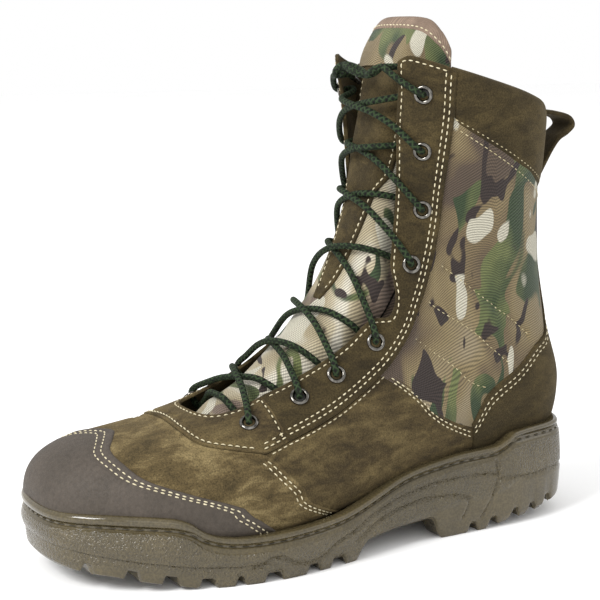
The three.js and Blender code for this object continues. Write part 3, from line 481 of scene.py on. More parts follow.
@dataclass(frozen=True)
class NappedSuede(Finish):
    """Split leather with a raised nap: dull, and blotched where the nap lies another way.

    The tufts are drawn at 0.8 mm, coarser than the real ones, so that they show.
    """

    dark: str
    middle: str
    light: str
    blotch: float = 22
    patch: float = 8
    tuft: float = 0.8

    def pattern(self, add: Adder, place: Socket, surface: Socket) -> Dict[str, Value]:
        """Three shades from two sizes of patches, flecked and roughened by the nap."""
        brushed = add("Mapping", {"Vector": place, "Rotation": (0.7, 0.0, 0.0),
                                  "Scale": (1.0, 0.55, 1.3)})
        blotch = add("TexNoise", {"Vector": brushed, "Scale": per_mm(self.blotch),
                                  "Detail": 5, "Roughness": 0.6, "Distortion": 0.5})
        patch = add("TexNoise", {"Vector": brushed, "Scale": per_mm(self.patch),
                                 "Detail": 5, "Roughness": 0.62, "Distortion": 0.9})
        nap = add("TexNoise", {"Vector": place, "Scale": per_mm(self.tuft), "Detail": 4,
                               "Roughness": 0.75})
        large = add("Math", {0: blotch, 1: 0.58}, operation="MULTIPLY")
        blend = add("Math", {0: patch, 1: 0.42, 2: large}, operation="MULTIPLY_ADD")
        tone = add("ValToRGB", {0: blend},
                   stops=((0.39, self.dark), (0.49, self.middle), (0.6, self.light)))
        fleck = add("ValToRGB", {0: nap}, stops=((0.3, "#868686"), (0.5, "#d0d0d0"), (0.7, WHITE)))
        coarse = add("Bump", {"Height": patch, "Distance": 0.5 * MM, "Strength": 0.5})
        return {
            "Base Color": add("Mix", {0: 1.0, 6: tone, 7: fleck}, out=2, **MULTIPLY),
            "Roughness": 0.95,
            "Normal": add("Bump", {"Height": nap, "Distance": 0.35 * MM, "Strength": 0.9,
                                   "Normal": coarse}),
            "Sheen Weight": 0.22, "Sheen Roughness": 0.45, "Sheen Tint": "#a3916c",
            "Specular IOR Level": 0.2,
        }


@dataclass(frozen=True)
class CoatedLeather(Finish):
    """Coated leather, pressed with a fine pebble: grey brown and matt."""

    pebble: float = 0.9
    haze: float = 22
    dust_and_grain_shade: float = 2.2

    def pattern(self, add: Adder, place: Socket, surface: Socket) -> Dict[str, Value]:
        """A hazy ground with dusty specks, pressed with the pebble."""
        pebble = add("TexVoronoi", {"Vector": place, "Scale": per_mm(self.pebble)})
        haze = add("TexNoise", {"Vector": place, "Scale": per_mm(self.haze), "Detail": 4,
                                "Roughness": 0.55})
        dust_and_grain_shade = add("TexNoise", {"Vector": place, "Scale": per_mm(self.dust_and_grain_shade), "Detail": 3,
                                "Roughness": 0.7})
        tone = add("ValToRGB", {0: haze}, stops=((0.3, "#433c34"), (0.7, "#4e463e")))
        speck = add("ValToRGB", {0: dust_and_grain_shade}, stops=((0.3, "#d5d5d5"), (0.7, WHITE)))
        low = add("Bump", {"Height": dust_and_grain_shade, "Distance": 0.12 * MM, "Strength": 0.5})
        return {
            "Base Color": add("Mix", {0: 1.0, 6: tone, 7: speck}, out=2, **MULTIPLY),
            "Roughness": add("ValToRGB", {0: pebble}, stops=((0.0, "#c8c8c8"), (0.8, "#e6e6e6"))),
            "Normal": add("Bump", {"Height": pebble, "Distance": 0.16 * MM, "Strength": 0.7,
                                   "Normal": low}),
            "Specular IOR Level": 0.35,
        }


@dataclass(frozen=True)
class PrintedWeave(Finish):
    """Coarse nylon weave with a blotched print: matt, ribbed on a slant.

    The last three numbers are the levels of the noise from which a blot is green, dark brown and
    off-white.
    """

    ground: Stops
    green_from: float
    brown_from: float
    pale_from: float
    pitch: float = 1.15

    def pattern(self, add: Adder, place: Socket, surface: Socket) -> Dict[str, Value]:
        """Blots of 25 to 50 mm laid over the ground one after another, then woven, with painted
        shade in the grooves of the ribs.
        """
        squeeze = add("Mapping", {"Vector": place, "Rotation": (0.5, 0.25, 0.4),
                                  "Scale": (1.0, 1.25, 0.62)})
        shifted = add("Mapping", {"Vector": squeeze, "Location": (0.37, 0.11, 0.23)})
        drift, ground, green, brown, pale = (
            add("TexNoise", {"Vector": at, "Scale": per_mm(size), "Detail": detail,
                             "Roughness": roughness, "Distortion": distortion})
            for at, size, detail, roughness, distortion in (
                (squeeze, 26, 2, 0.5, 0.0), (squeeze, 52, 1.5, 0.5, 1.0),
                (squeeze, 34, 1.2, 0.45, 1.4), (shifted, 26, 1.2, 0.45, 1.6),
                (shifted, 25, 0.4, 0.4, 0.7)))
        tone = add("ValToRGB", {0: ground}, stops=self.ground)
        wash = add("ValToRGB", {0: drift}, stops=((0.42, BLACK), (0.6, WHITE)))
        leaf = add("Mix", {0: wash, 6: "#35452b", 7: "#6b7246"}, out=2, **BLEND)
        for level, factor, ink in (
            (self.green_from, green, leaf), (self.brown_from, brown, "#352b27"),
            (self.pale_from, pale, "#c6c1ae"),
        ):
            blot = add("ValToRGB", {0: factor}, stops=((level, BLACK), (level + 0.015, WHITE)))
            tone = add("Mix", {0: blot, 6: tone, 7: ink}, out=2, **BLEND)
        reliefs = []
        # Each rib darkens the colour in its grooves: painted shade.
        for turn, pitch, shade in (
            (52, self.pitch, ((0.05, "#6a6a6a"), (0.45, "#d0d0d0"), (0.8, WHITE))),
            (-38, self.pitch * 0.8, ((0.0, "#b0b0b0"), (0.6, WHITE))),
        ):
            turned = add("Mapping", {"Vector": surface, "Rotation": (0, 0, math.radians(turn))})
            rib = add("TexWave", {"Vector": turned, "Scale": per_mm(pitch) * math.pi / 10},
                      out=1, wave_profile="SIN")
            rib_groove_shade = add("ValToRGB", {0: rib}, stops=shade)
            tone = add("Mix", {0: 0.62, 6: tone, 7: rib_groove_shade}, out=2, **MULTIPLY)
            reliefs.append(rib)
        rib, thread = reliefs
        ribbed = add("Bump", {"Height": rib, "Distance": 0.3 * MM, "Strength": 0.8})
        return {
            "Base Color": tone, "Roughness": 0.82,
            "Normal": add("Bump", {"Height": thread, "Distance": 0.14 * MM, "Strength": 0.6,
                                   "Normal": ribbed}),
            "Sheen Weight": 0.12, "Sheen Roughness": 0.5, "Specular IOR Level": 0.3,
        }


@dataclass(frozen=True)
class MouldedRubber(Finish):
    """Moulded rubber: a polished lip, a grained side band and painted shade in the low places of
    the grain.

    The flat coordinate across the side counts from the lip down, so the band follows the lip.
    """

    haze: float = 30
    grain: float = 1.1
    swell: float = 6

    def pattern(self, add: Adder, place: Socket, surface: Socket) -> Dict[str, Value]:
        """Grain between the groove and the tread's edge, smooth elsewhere."""
        haze = add("TexNoise", {"Vector": place, "Scale": per_mm(self.haze), **SOFT})
        grain = add("TexNoise", {"Vector": place, "Scale": per_mm(self.grain), "Detail": 1,
                                 "Roughness": 0.5})
        swell = add("TexNoise", {"Vector": place, "Scale": per_mm(self.swell), "Detail": 3,
                                 "Roughness": 0.6})
        below = add("SeparateXYZ", {0: surface}, out=1)
        in_band = add("Math", {0: below, 1: 20.0}, operation="MULTIPLY")
        band = add("ValToRGB", {0: in_band}, stops=(
            (0.0, BLACK), (0.15, BLACK), (0.17, WHITE), (0.5, WHITE), (0.56, "#444444")))
        tone = add("ValToRGB", {0: haze}, stops=((0.3, "#4b432f"), (0.7, "#5b5139")))
        # The grain's low places are darkened all over the sole: painted shade in the hollows of the
        # grained band, a plain mottle where the side is smooth.
        dust_and_grain_shade = add("ValToRGB", {0: grain}, stops=((0.35, "#a0a0a0"), (0.7, WHITE)))
        masked = add("Math", {0: grain, 1: band}, operation="MULTIPLY")
        low = add("Bump", {"Height": swell, "Distance": 0.15 * MM, "Strength": 0.3})
        return {
            "Base Color": add("Mix", {0: 0.55, 6: tone, 7: dust_and_grain_shade}, out=2, **MULTIPLY),
            "Roughness": add("ValToRGB", {0: band}, stops=((0.0, "#5c5c5c"), (1.0, "#7c7c7c"))),
            "Normal": add("Bump", {"Height": masked, "Distance": 1.3 * MM, "Strength": 0.9,
                                   "Normal": low}),
            "Specular IOR Level": 0.5,
        }


@dataclass(frozen=True)
class BraidedCord(Finish):
    """Round braid of dark green polyester: crossing strands with black tracer flecks.

    One strand crosses every 3.4 mm along the cord, and three lie round it.
    """

    crossing: float = 3.4
    girth: float = 4 * math.pi
    strands: int = 3

    def pattern(self, add: Adder, place: Socket, surface: Socket) -> Dict[str, Value]:
        """The higher of two slanted sine waves, one for each way that the strands turn, with
        painted shade where the strands dip.
        """
        along, around = add("SeparateXYZ", {0: surface}).node.outputs[:2]
        wave = 2 * math.pi
        run = add("Math", {0: along, 1: wave * per_mm(self.crossing)}, operation="MULTIPLY")
        turn = add("Math", {0: around, 1: wave * per_mm(self.girth) * self.strands},
                   operation="MULTIPLY")
        left, right = (
            add("Math", {0: add("Math", {0: run, 1: turn}, operation=way)}, operation="SINE")
            for way in ("ADD", "SUBTRACT"))
        crossed = add("Math", {0: left, 1: right}, operation="MAXIMUM")
        half_run = add("Math", {0: run, 1: 0.5}, operation="MULTIPLY")
        slow = add("Math", {0: turn, 1: 0.34, 2: half_run}, operation="MULTIPLY_ADD")
        tracer = add("Math", {0: slow}, operation="SINE")
        share = add("Math", {0: crossed, 1: 0.5, 2: 0.5}, operation="MULTIPLY_ADD")
        # Near black where the strands dip and lighter on their crowns: painted shade in the braid's
        # hollows.
        tone = add("ValToRGB", {0: share},
                   stops=((0.3, "#090d07"), (0.65, "#162012"), (1.0, "#2b3a22")))
        fleck = add("ValToRGB", {0: tracer}, stops=((0.86, WHITE), (0.95, "#4a4a44")))
        height = add("ValToRGB", {0: crossed}, stops=((0.0, BLACK), (1.0, WHITE)))
        return {
            "Base Color": add("Mix", {0: 0.8, 6: tone, 7: fleck}, out=2, **MULTIPLY),
            "Roughness": 0.75,
            "Normal": add("Bump", {"Height": height, "Distance": 0.35 * MM, "Strength": 0.9}),
            "Specular IOR Level": 0.2,
        }


@dataclass(frozen=True)
class RibbedTape(Finish):
    """Ribbed tan binding tape: dull, with fine cross ribs."""

    rib: float = 0.8
    patch: float = 9

    def pattern(self, add: Adder, place: Socket, surface: Socket) -> Dict[str, Value]:
        """Patchy tan, darkened between the ribs as painted shade."""
        rib = add("TexWave", {"Vector": surface, "Scale": per_mm(self.rib) / 20 * math.pi,
                              "Distortion": 0.3}, out=1, bands_direction="X")
        patch = add("TexNoise", {"Vector": place, "Scale": per_mm(self.patch), "Detail": 3,
                                 "Roughness": 0.6})
        tone = add("ValToRGB", {0: patch}, stops=((0.3, "#6b594b"), (0.7, "#84705f")))
        # Darker between the ribs: painted shade.
        shade = add("ValToRGB", {0: rib}, stops=((0.0, "#b0b0b0"), (0.6, WHITE)))
        return {
            "Base Color": add("Mix", {0: 0.7, 6: tone, 7: shade}, out=2, **MULTIPLY),
            "Roughness": 0.8,
            "Normal": add("Bump", {"Height": rib, "Distance": 0.2 * MM, "Strength": 0.7}),
        }


@dataclass(frozen=True)
class ZipTape(Finish):
    """Dark woven tape of a zip, with cross ribs."""

    rib: float = 1.0

    def pattern(self, add: Adder, place: Socket, surface: Socket) -> Dict[str, Value]:
        """Two dark tones by the height of the ribs, the darker in their grooves as painted shade.
        """
        rib = add("TexWave", {"Vector": place, "Scale": per_mm(self.rib) / 20 * math.pi}, out=1,
                  bands_direction="Z")
        return {
            # Darker between the ribs: painted shade.
            "Base Color": add("ValToRGB", {0: rib}, stops=((0.1, "#211f19"), (0.8, "#3b382d"))),
            "Roughness": 0.85,
            "Normal": add("Bump", {"Height": rib, "Distance": 0.2 * MM, "Strength": 0.7}),
        }


@dataclass(frozen=True)
class Mottled(Finish):
    """Two shades in soft patches over a fine relief, with sizes in millimetres.

    Where no grain is given the patches themselves are the relief.  Wear is a patch size and the
    grey levels of roughness between which it changes.
    """

    dark: str
    light: str
    patch: float
    detail: float = 4
    break_up: float = 0.6
    twist: float = 0.0
    spread: Tuple[float, float] = (0.3, 0.7)
    roughness: float = 0.6
    wear: Optional[Tuple[float, str, str]] = None
    grain: float = 0.0
    depth: float = 0.0
    strength: float = 1.0
    shader: Tuple[Tuple[str, Value], ...] = ()

    def pattern(self, add: Adder, place: Socket, surface: Socket) -> Dict[str, Value]:
        """Patches for the tone, and the grain and the wear where they are given."""
        patch = add("TexNoise", {"Vector": place, "Scale": per_mm(self.patch),
                                 "Detail": self.detail, "Roughness": self.break_up,
                                 "Distortion": self.twist})
        tones = tuple(zip(self.spread, (self.dark, self.light)))
        values = {"Base Color": add("ValToRGB", {0: patch}, stops=tones),
                  "Roughness": self.roughness, **dict(self.shader)}
        if self.wear:
            size, polished, dull = self.wear
            worn = add("TexNoise", {"Vector": place, "Scale": per_mm(size), **SOFT})
            values["Roughness"] = add("ValToRGB", {0: worn}, stops=((0.3, polished), (0.7, dull)))
        if self.depth:
            height = patch
            if self.grain:
                height = add("TexNoise", {"Vector": place, "Scale": per_mm(self.grain), **SOFT})
            values["Normal"] = add("Bump", {"Height": height, "Distance": self.depth * MM,
                                            "Strength": self.strength})
        return values


# Suede of the forefoot, the browner and more even suede of the shaft, and a darker part of the
# hide: all dull, with a soft sheen.
SUEDE = NappedSuede("suede_split_leather", "#4c412a", "#665739", "#8d7c56")
SUEDE_SHAFT = NappedSuede("suede_split_leather_shaft", "#352d1c", "#423822", "#53472c")
SUEDE_DARK = NappedSuede("suede_split_leather_dark", "#403624", "#574a30", "#716241")
CAP_LEATHER = CoatedLeather("coated_pebbled_leather")
# The print on its khaki and brown ground, and where its palest patches fall.
CAMO = PrintedWeave(
    "printed_nylon_weave",
    ((0.0, "#4d4137"), (0.42, "#5a4c3f"), (0.47, "#75654a"), (0.55, "#8a7a58"), (0.68, "#94866a")),
    0.525, 0.6, 0.68)
CAMO_PALE = PrintedWeave(
    "printed_nylon_weave_pale",
    ((0.0, "#6d5d50"), (0.4, "#77675a"), (0.44, "#a39678"), (0.54, "#b9ae93"), (0.6, "#cfc9b8")),
    0.6, 0.63, 0.56)
RUBBER = MouldedRubber("moulded_rubber")
CORD = BraidedCord("braided_polyester_cord")
TAPE = RibbedTape("grosgrain_tape")
ZIP_CLOTH = ZipTape("woven_zip_tape")
# Dark waxed thread in the groove of the sole: dull, with a coarse twist.
SOLE_THREAD = Mottled("waxed_thread", "#2a251b", "#403a2c", 1.5, spread=(0.0, 1.0), grain=0.5,
                      depth=0.1)
# Off-white bonded polyester thread, and the thinner tan thread of the quilting: faintly glossy.
THREAD = Mottled("bonded_polyester_thread", "#a89d7d", "#d2c8aa", 3.0, 3, grain=0.35, depth=0.08,
                 strength=0.6)
QUILT_THREAD = Mottled("quilting_thread", "#978a66", "#c4b894", 4.0, 2, roughness=0.65,
                       grain=0.35, depth=0.08, strength=0.6)
# Black-nickel plated brass: polished, with the plating worn bright in places.
NICKEL = Mottled("black_nickel_plate", "#4a4743", "#7d7a74", 2.5, 3, spread=(0.35, 0.65),
                 wear=(1.2, "#383838", "#606060"), grain=0.8, depth=0.02, strength=0.4,
                 shader=(("Metallic", 1.0),))
# Near-black plug in each eyelet's hole: painted shade, dark so that it hardly gives back light.
HOLE_SHADE = Mottled("eyelet_hole_painted_shade", "#0c0c0a", "#171612", 1.0, spread=(0.0, 1.0), roughness=0.7)
# Cold-rolled spring steel of the shank: grey, with a satin gloss.
STEEL = Mottled("cold_rolled_steel", "#83837f", "#a3a39f", 5, roughness=0.4, grain=0.6, depth=0.03,
                strength=0.5, shader=(("Metallic", 1.0),))
# Moulded acetal: dark and slightly scuffed.
PLASTIC = Mottled("moulded_acetal", "#24231f", "#34322c", 4, wear=(1.5, "#6a6a6a", "#8a8a8a"),
                  grain=0.8, depth=0.04, strength=0.5)
# Knitted fleece with a brushed face: 1.6 mm tufts and a strong soft sheen.
FLEECE = Mottled("brushed_fleece", "#242119", "#4a4436", 1.6, 5, 0.7, 0.6, roughness=1.0, depth=1.0,
                 shader=(("Sheen Weight", 0.5), ("Sheen Roughness", 0.6),
                         ("Sheen Tint", "#8c8470")))
# Loose fibre wadding: pale and lightless.
WADDING = Mottled("polyester_wadding", "#98917f", "#cdc7b8", 2.5, 6, 0.75, 1.0, roughness=1.0,
                  depth=0.9, strength=0.9)
# Pressed cellulose board: brown and fibrous.
BOARD = Mottled("cellulose_board", "#775f42", "#97805e", 1.8, 6, roughness=0.85, grain=0.9,
                depth=0.1)
# Matt white studio sweep: even and pale.
SWEEP = Mottled("matt_studio_sweep", "#fcfcfc", "#fefefe", 400, spread=(0.0, 1.0), roughness=0.9)


# ---------------------------------------------------------------- solids


def frame_offset() -> Array:
    """Step from the form's own origin to the frame's, read from the midsole's box."""
    high = np.array(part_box("midsole")[1])[:2] / MM
    return np.append(high - SOLE_LOOP.max(0) + (0.0, TIP_MARGIN), 0.0)


def grid_quads(index: Array) -> Array:
    """Quads between neighbours of a grid of vertex numbers."""
    corners = index[:-1, :-1], index[1:, :-1], index[1:, 1:], index[:-1, 1:]
    return np.stack(corners, -1).reshape(-1, 4)


def closed_sheet(outer: Array, inner: Array) -> Tuple[Array, Array]:
    """Both faces of a sheet and the wall round its rim.

    Args:
        outer: Grid of points of one face.
        inner: Grid of points of the other.

    Returns:
        Points and quads of the closed body.
    """
    rows, columns = outer.shape[:2]
    count = rows * columns
    index = np.arange(count).reshape(rows, columns)
    rim = np.concatenate([index[0], index[1:, -1], index[-1, -2::-1], index[-2:0:-1, 0]])
    after = np.roll(rim, -1)
    wall = np.stack([rim, after, after + count, rim + count], -1)
    quads = np.concatenate([grid_quads(index), grid_quads(index)[:, ::-1] + count, wall])
    return np.concatenate([outer.reshape(-1, 3), inner.reshape(-1, 3)]), quads


def closed_tube(rings: Array) -> Tuple[Array, List[List[int]]]:
    """Body through a row of closed rings, with a flat face at each end.

    Args:
        rings: Points of each ring.

    Returns:
        Points and faces of the closed body.
    """
    count, sides = rings.shape[:2]
    index = np.arange(count * sides).reshape(count, sides)
    wrapped = np.concatenate([index, index[:, :1]], 1)
    faces = grid_quads(wrapped).tolist()
    faces.append(index[0].tolist())
    faces.append(index[-1, ::-1].tolist())
    return rings.reshape(-1, 3), faces


@dataclass
class Piece:
    """A finished mesh and what the frame needs to know of it."""

    name: str
    points: Array
    faces: Sequence[Sequence[int]]
    finish: Finish
    slot: str
    body: str = "boot"
    replaces: Tuple[str, ...] = ()
    uv: Optional[Array] = None
    sharp: float = 50
    weld: bool = False

    def add(self) -> bpy.types.Object:
        """Makes the object, turns its faces outwards and reports it.

        Returns:
            The new object, dressed and riding on its body.
        """
        points = (np.asarray(self.points, float) + OFFSET) * MM
        faces = self.faces.tolist() if isinstance(self.faces, np.ndarray) else self.faces
        first = np.array([[face[0], face[1], face[2]] for face in faces])
        last = np.array([[face[0], face[-2], face[-1]] for face in faces])
        volume = sum(
            np.einsum("ij,ij->", points[tri[:, 0]], np.cross(points[tri[:, 1]], points[tri[:, 2]]))
            for tri in (first, last)
        )
        if volume < 0:
            faces = [face[::-1] for face in faces]
        mesh = bpy.data.meshes.new(self.name)
        mesh.from_pydata(points.tolist(), [], faces)
        if self.uv is not None:
            layer = mesh.uv_layers.new(name="surface")
            loops = np.empty(len(mesh.loops), int)
            mesh.loops.foreach_get("vertex_index", loops)
            layer.data.foreach_set("uv", (self.uv[loops] * MM).ravel())
        if self.weld:
            work = bmesh.new()
            work.from_mesh(mesh)
            bmesh.ops.remove_doubles(work, verts=work.verts, dist=1e-6)
            work.to_mesh(mesh)
            work.free()
        mesh.validate()
        mesh.polygons.foreach_set("use_smooth", np.ones(len(mesh.polygons), bool))
        mesh.set_sharp_from_angle(angle=math.radians(self.sharp))
        mesh.materials.append(material(self.finish))
        piece = bpy.data.objects.new(self.name, mesh)
        bpy.context.scene.collection.objects.link(piece)
        if self.body:
            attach(piece, self.body)
        if self.replaces:
            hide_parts(*self.replaces)
        log.info("%s: %d faces on %s", self.name, len(mesh.polygons), self.body or "a blend")
        return piece


# ---------------------------------------------------------------- stitching

@dataclass
class Stitching:
    """Rows of capsule-shaped stitches that arch over the surface and dip in at their ends."""

    name: str
    length: float = 2.4
    pitch: float = 3.6
    width: float = 0.72
    finish: Finish = THREAD
    slot: str = "binding_tape"
    body: str = "boot"
    rows: List[Tuple[Array, Array]] = field(default_factory=list)

    def along(self, points: Array, normals: Array) -> None:
        """Adds a row along a path.

        The path is read at equal steps of its own length, and each stitch lies along it.

        Args:
            points: Points of the path in millimetres.
            normals: Outward normals at these points.
        """
        steps = np.linalg.norm(np.diff(points, axis=0), axis=1)
        reach = np.concatenate([[0], np.cumsum(steps)])
        count = max(int(reach[-1] / self.pitch), 1)
        places = (np.arange(count) + 0.5) * reach[-1] / count
        read = lambda at, table: np.stack([np.interp(at, reach, table[:, k]) for k in range(3)], -1)
        centre = read(places, points)
        tangent = read(places + 0.5, points) - read(places - 0.5, points)
        self.rows.append((centre, np.stack([tangent, read(places, normals)], 1)))

    def on_form(self, t: Array, phi: Array, height: Array) -> None:
        """Adds a row along a line on the form."""
        self.along(FORM.at(t, phi, height), FORM.normal(t, phi))

    def add(self) -> bpy.types.Object:
        """Builds all stitches as one mesh: rings of six points with a flat face at each end.

        Returns:
            The stitches' object.
        """
        centre = np.concatenate([row[0] for row in self.rows])
        frames = np.concatenate([row[1] for row in self.rows])
        tangent = frames[:, 0] / np.linalg.norm(frames[:, 0], axis=1, keepdims=True)
        across = np.cross(frames[:, 1], tangent)
        across /= np.linalg.norm(across, axis=1, keepdims=True)
        normal = np.cross(tangent, across)
        shares = np.array([-1.0, -0.8, -0.3, 0.3, 0.8, 1.0])
        girth = np.array([0.35, 0.8, 1.0, 1.0, 0.8, 0.35]) * self.width / 2
        angles = np.radians(np.arange(6) * 60.0)
        arch = 0.12 - 0.5 * shares**2
        along = shares[:, None] * self.length / 2 * np.ones(6)
        side = girth[:, None] * np.cos(angles)
        lift = girth[:, None] * np.sin(angles) * 0.8 + arch[:, None]
        points = (
            centre[:, None, None]
            + along[None, ..., None] * tangent[:, None, None]
            + side[None, ..., None] * across[:, None, None]
            + lift[None, ..., None] * normal[:, None, None]
        )
        _, faces = closed_tube(points[0])
        count = points[0].shape[0] * points[0].shape[1]
        every = [[k + j * count for k in face] for j in range(len(centre)) for face in faces]
        return Piece(
            self.name, points.reshape(-1, 3), every, self.finish, self.slot, self.body, sharp=80
        ).add()


# ---------------------------------------------------------------- panels cut for the form

RAMP = (0.0, 0.12, 0.3, 0.6, 1.0, 1.6, 2.4, 3.2, 4.2)  # distances from a cut edge, in millimetres
SIDES = ((1, "lateral"), (-1, "medial"))


@dataclass
class Panel:
    """A piece of leather or cloth between two lines on the form.

    A cut edge is rounded down to the layer below, and every other edge runs on beneath its
    neighbour.  Rows of stitches lie at set distances from an edge, each in a shallow groove.
    """

    name: str
    nodes: Tuple[str, ...]
    edge_a: Line
    edge_b: Line
    level: Height
    finish: Finish
    slot: str
    columns: int = 60
    rows: int = 40
    cut: str = ""
    under: float = 4.0
    thickness: float = 1.8
    drop: float = 1.3
    front: Optional[Line] = None
    end: Optional[Line] = None
    relief: Optional[Callable[[Array, Array], Array]] = None
    seams: Tuple[Tuple[str, float, float, float], ...] = ()
    waviness: float = 0.25
    body: str = "boot"
    held: str = ""

    def spots(self, u: Array, v: Array) -> Array:
        """Section and angle at shares u along and v across, bowed to the front and end lines.

        Args:
            u: Shares along the edges.
            v: Shares from one edge to the other.

        Returns:
            Sections and angles.
        """
        if not hasattr(self, "_a"):
            self._a, self._b = reaching(self.edge_a), reaching(self.edge_b)
            self._front = reaching(self.front) if self.front else None
            self._end = reaching(self.end) if self.end else None
        a, b = self._a(u), self._b(u)
        spot = a + (b - a) * v[..., None]
        if self._front:
            zero = np.zeros_like(v)
            start = self._a(zero) + (self._b(zero) - self._a(zero)) * v[..., None]
            spot = spot + (1 - u)[..., None] * (self._front(v) - start)
        if self._end:
            one = np.ones_like(v)
            finish = self._a(one) + (self._b(one) - self._a(one)) * v[..., None]
            spot = spot + (np.clip(u, 0, 2) ** 12)[..., None] * (self._end(v) - finish)
        return spot

    def stations(self, low: bool, high: bool, count: int) -> Tuple[Array, Array]:
        """Places along a side as a distance plus a share of the side's length.

        Args:
            low: Whether the first end is a cut edge.
            high: Whether the last end is.
            count: Steps between the ends.

        Returns:
            Distances in millimetres, and shares.
        """
        lead = np.array(RAMP) if low else np.array([-self.under])
        trail = np.array(RAMP[::-1]) if high else np.array([-self.under])
        middle = np.linspace(0, 1, count + 2)[1:-1]
        distance = np.concatenate([lead, lerp(lead[-1], -trail[0], middle), -trail])
        share = np.concatenate([0 * lead, middle, 1 + 0 * trail])
        return distance, share

    def lengths(self, shares: Array, across: bool) -> Array:
        """Length over the form along one side at each share of the other.

        Args:
            shares: Places on the other side.
            across: Whether the length runs from edge to edge.

        Returns:
            Lengths in millimetres.
        """
        steps = np.linspace(0, 1, 33)
        one, other = np.meshgrid(shares, steps, indexing="ij")
        spot = self.spots(one, other) if across else self.spots(other, one)
        points = FORM.point(spot[..., 0], spot[..., 1])
        return np.linalg.norm(np.diff(points, axis=1), axis=-1).sum(1)

    def heights(self, t: Array, phi: Array) -> Array:
        """Height of the face before its edges are rounded.

        Args:
            t: Sections.
            phi: Angles in degrees.

        Returns:
            Heights in millimetres.
        """
        base = self.level(t, phi) if callable(self.level) else np.full(t.shape, float(self.level))
        if self.relief:
            base = base + self.relief(t, phi)
        point = FORM.point(t, phi)
        y, z = point[..., 1], point[..., 2]
        return base + self.waviness * np.sin(z / 9 + 1.3 * np.sin(y / 13)) * np.sin(y / 11)

    def seam_spots(self, side: str, distance: float, low: float, high: float) -> Array:
        """Line at a distance inside one edge, from one share of it to another.

        Args:
            side: The edge: u0, u1, v0 or v1.
            distance: Millimetres in from it.
            low: Share of the edge where the line starts.
            high: Share where it ends.

        Returns:
            Sections and angles.
        """
        share = np.linspace(low, high, 160)
        across = side[0] == "v"
        inset = distance / self.lengths(share, across)
        if side[1] == "1":
            inset = 1 - inset
        return self.spots(share, inset) if across else self.spots(inset, share)

    def add(self, stitching: Optional[Stitching] = None) -> bpy.types.Object:
        """Builds the panel and its stitches.

        Args:
            stitching: The rows that this panel's stitches join.

        Returns:
            The panel's object.
        """
        distance_u, share_u = self.stations("u0" in self.cut, "u1" in self.cut, self.columns)
        distance_v, share_v = self.stations("v0" in self.cut, "v1" in self.cut, self.rows)
        length_u = self.lengths(np.clip(share_v, 0, 1), False)[None, :]
        length_v = self.lengths(np.clip(share_u, 0, 1), True)[:, None]
        along = distance_u[:, None] + share_u[:, None] * length_u
        across = distance_v[None, :] + share_v[None, :] * length_v
        spot = self.spots(along / length_u, across / length_v)
        t, phi = np.clip(spot[..., 0], 0.02, 16.9), spot[..., 1]
        from_edge = {"u0": along, "u1": length_u - along, "v0": across, "v1": length_v - across}
        height = self.heights(t, phi)
        cuts = [from_edge[side] for side in ("u0", "u1", "v0", "v1") if side in self.cut]
        if cuts:
            near = np.clip(np.minimum.reduce(cuts), 0, 1)
            height = height - self.drop * (1 - np.sqrt(1 - (1 - near) ** 2))
        for side, distance, _, _ in self.seams:
            height = height - 0.35 * np.exp(-(((from_edge[side] - distance) / 1.0) ** 2))
        base = self.level(t, phi) if callable(self.level) else self.level
        outer = FORM.at(t, phi, height)
        inner = FORM.at(t, phi, base - self.thickness + 0 * t)
        points, quads = closed_sheet(outer, inner)
        flat = np.stack([along, across], -1).reshape(-1, 2)
        uv = np.concatenate([flat, flat])
        if stitching:
            for side, distance, low, high in self.seams:
                line = self.seam_spots(side, distance, low, high)
                top = self.heights(line[:, 0], line[:, 1]) - 0.2
                stitching.on_form(line[:, 0], line[:, 1], top)
        piece = Piece(
            self.name, points, quads, self.finish, self.slot, self.body, self.nodes, uv=uv
        ).add()
        if self.held:
            self.declare_cloth(piece, outer)
        return piece

    def declare_cloth(self, piece: bpy.types.Object, face: Array) -> None:
        """Args:
            piece: The panel's object; not used.
            face: Grid of points of its outer face.
        """
        down, right = np.diff(face, axis=0), np.diff(face, axis=1)
        halves = np.cross(down[:, :-1], right[:-1]), np.cross(down[:, 1:], right[1:])
        area = sum(np.linalg.norm(half, axis=-1).sum() for half in halves) / 2
        width = np.linalg.norm(right, axis=-1).sum(1).max()
        length = np.linalg.norm(down, axis=-1).sum(0).max()
        log.info("%s: cut %.0f x %.0f mm, %.0f cm2", self.name, width, length, area / 100)


def double_row(side: str, first: float = 3.2, gap: float = 2.7, low: float = 0.0,
               high: float = 1.0) -> Tuple[Tuple[str, float, float, float], ...]:
    """Two rows of stitches beside one edge."""
    return (side, first, low, high), (side, first + gap, low, high)


# ---------------------------------------------------------------- sole

SOLE_OUTLINE = (
    (-12, -152), (18, -147), (41, -123), (54, -88), (61, -48),
    (56, -8), (46, 35), (43, 80), (41, 118), (30, 150),
    (0, 160), (-30, 150), (-40, 118), (-41, 80), (-42, 35),
    (-47, -10), (-55, -50), (-57, -86), (-52, -123), (-38, -145),
)
TIP_MARGIN = 1.6


def sole_loop(count: int) -> Array:
    """Closed outline of the sole at equal steps, by a periodic Catmull-Rom spline.

    Args:
        count: Number of points.

    Returns:
        Points in plan.
    """
    closed = SOLE_OUTLINE[-1:] + SOLE_OUTLINE + SOLE_OUTLINE[:2]
    dense = spline(closed, 1 + np.linspace(0, len(SOLE_OUTLINE), 6001))
    reach = np.concatenate([[0], np.cumsum(np.linalg.norm(np.diff(dense, axis=0), axis=1))])
    at = np.arange(count) / count * reach[-1]
    return np.stack([np.interp(at, reach, dense[:, k]) for k in (0, 1)], -1)


SOLE_LOOP = sole_loop(700)
OFFSET = frame_offset()


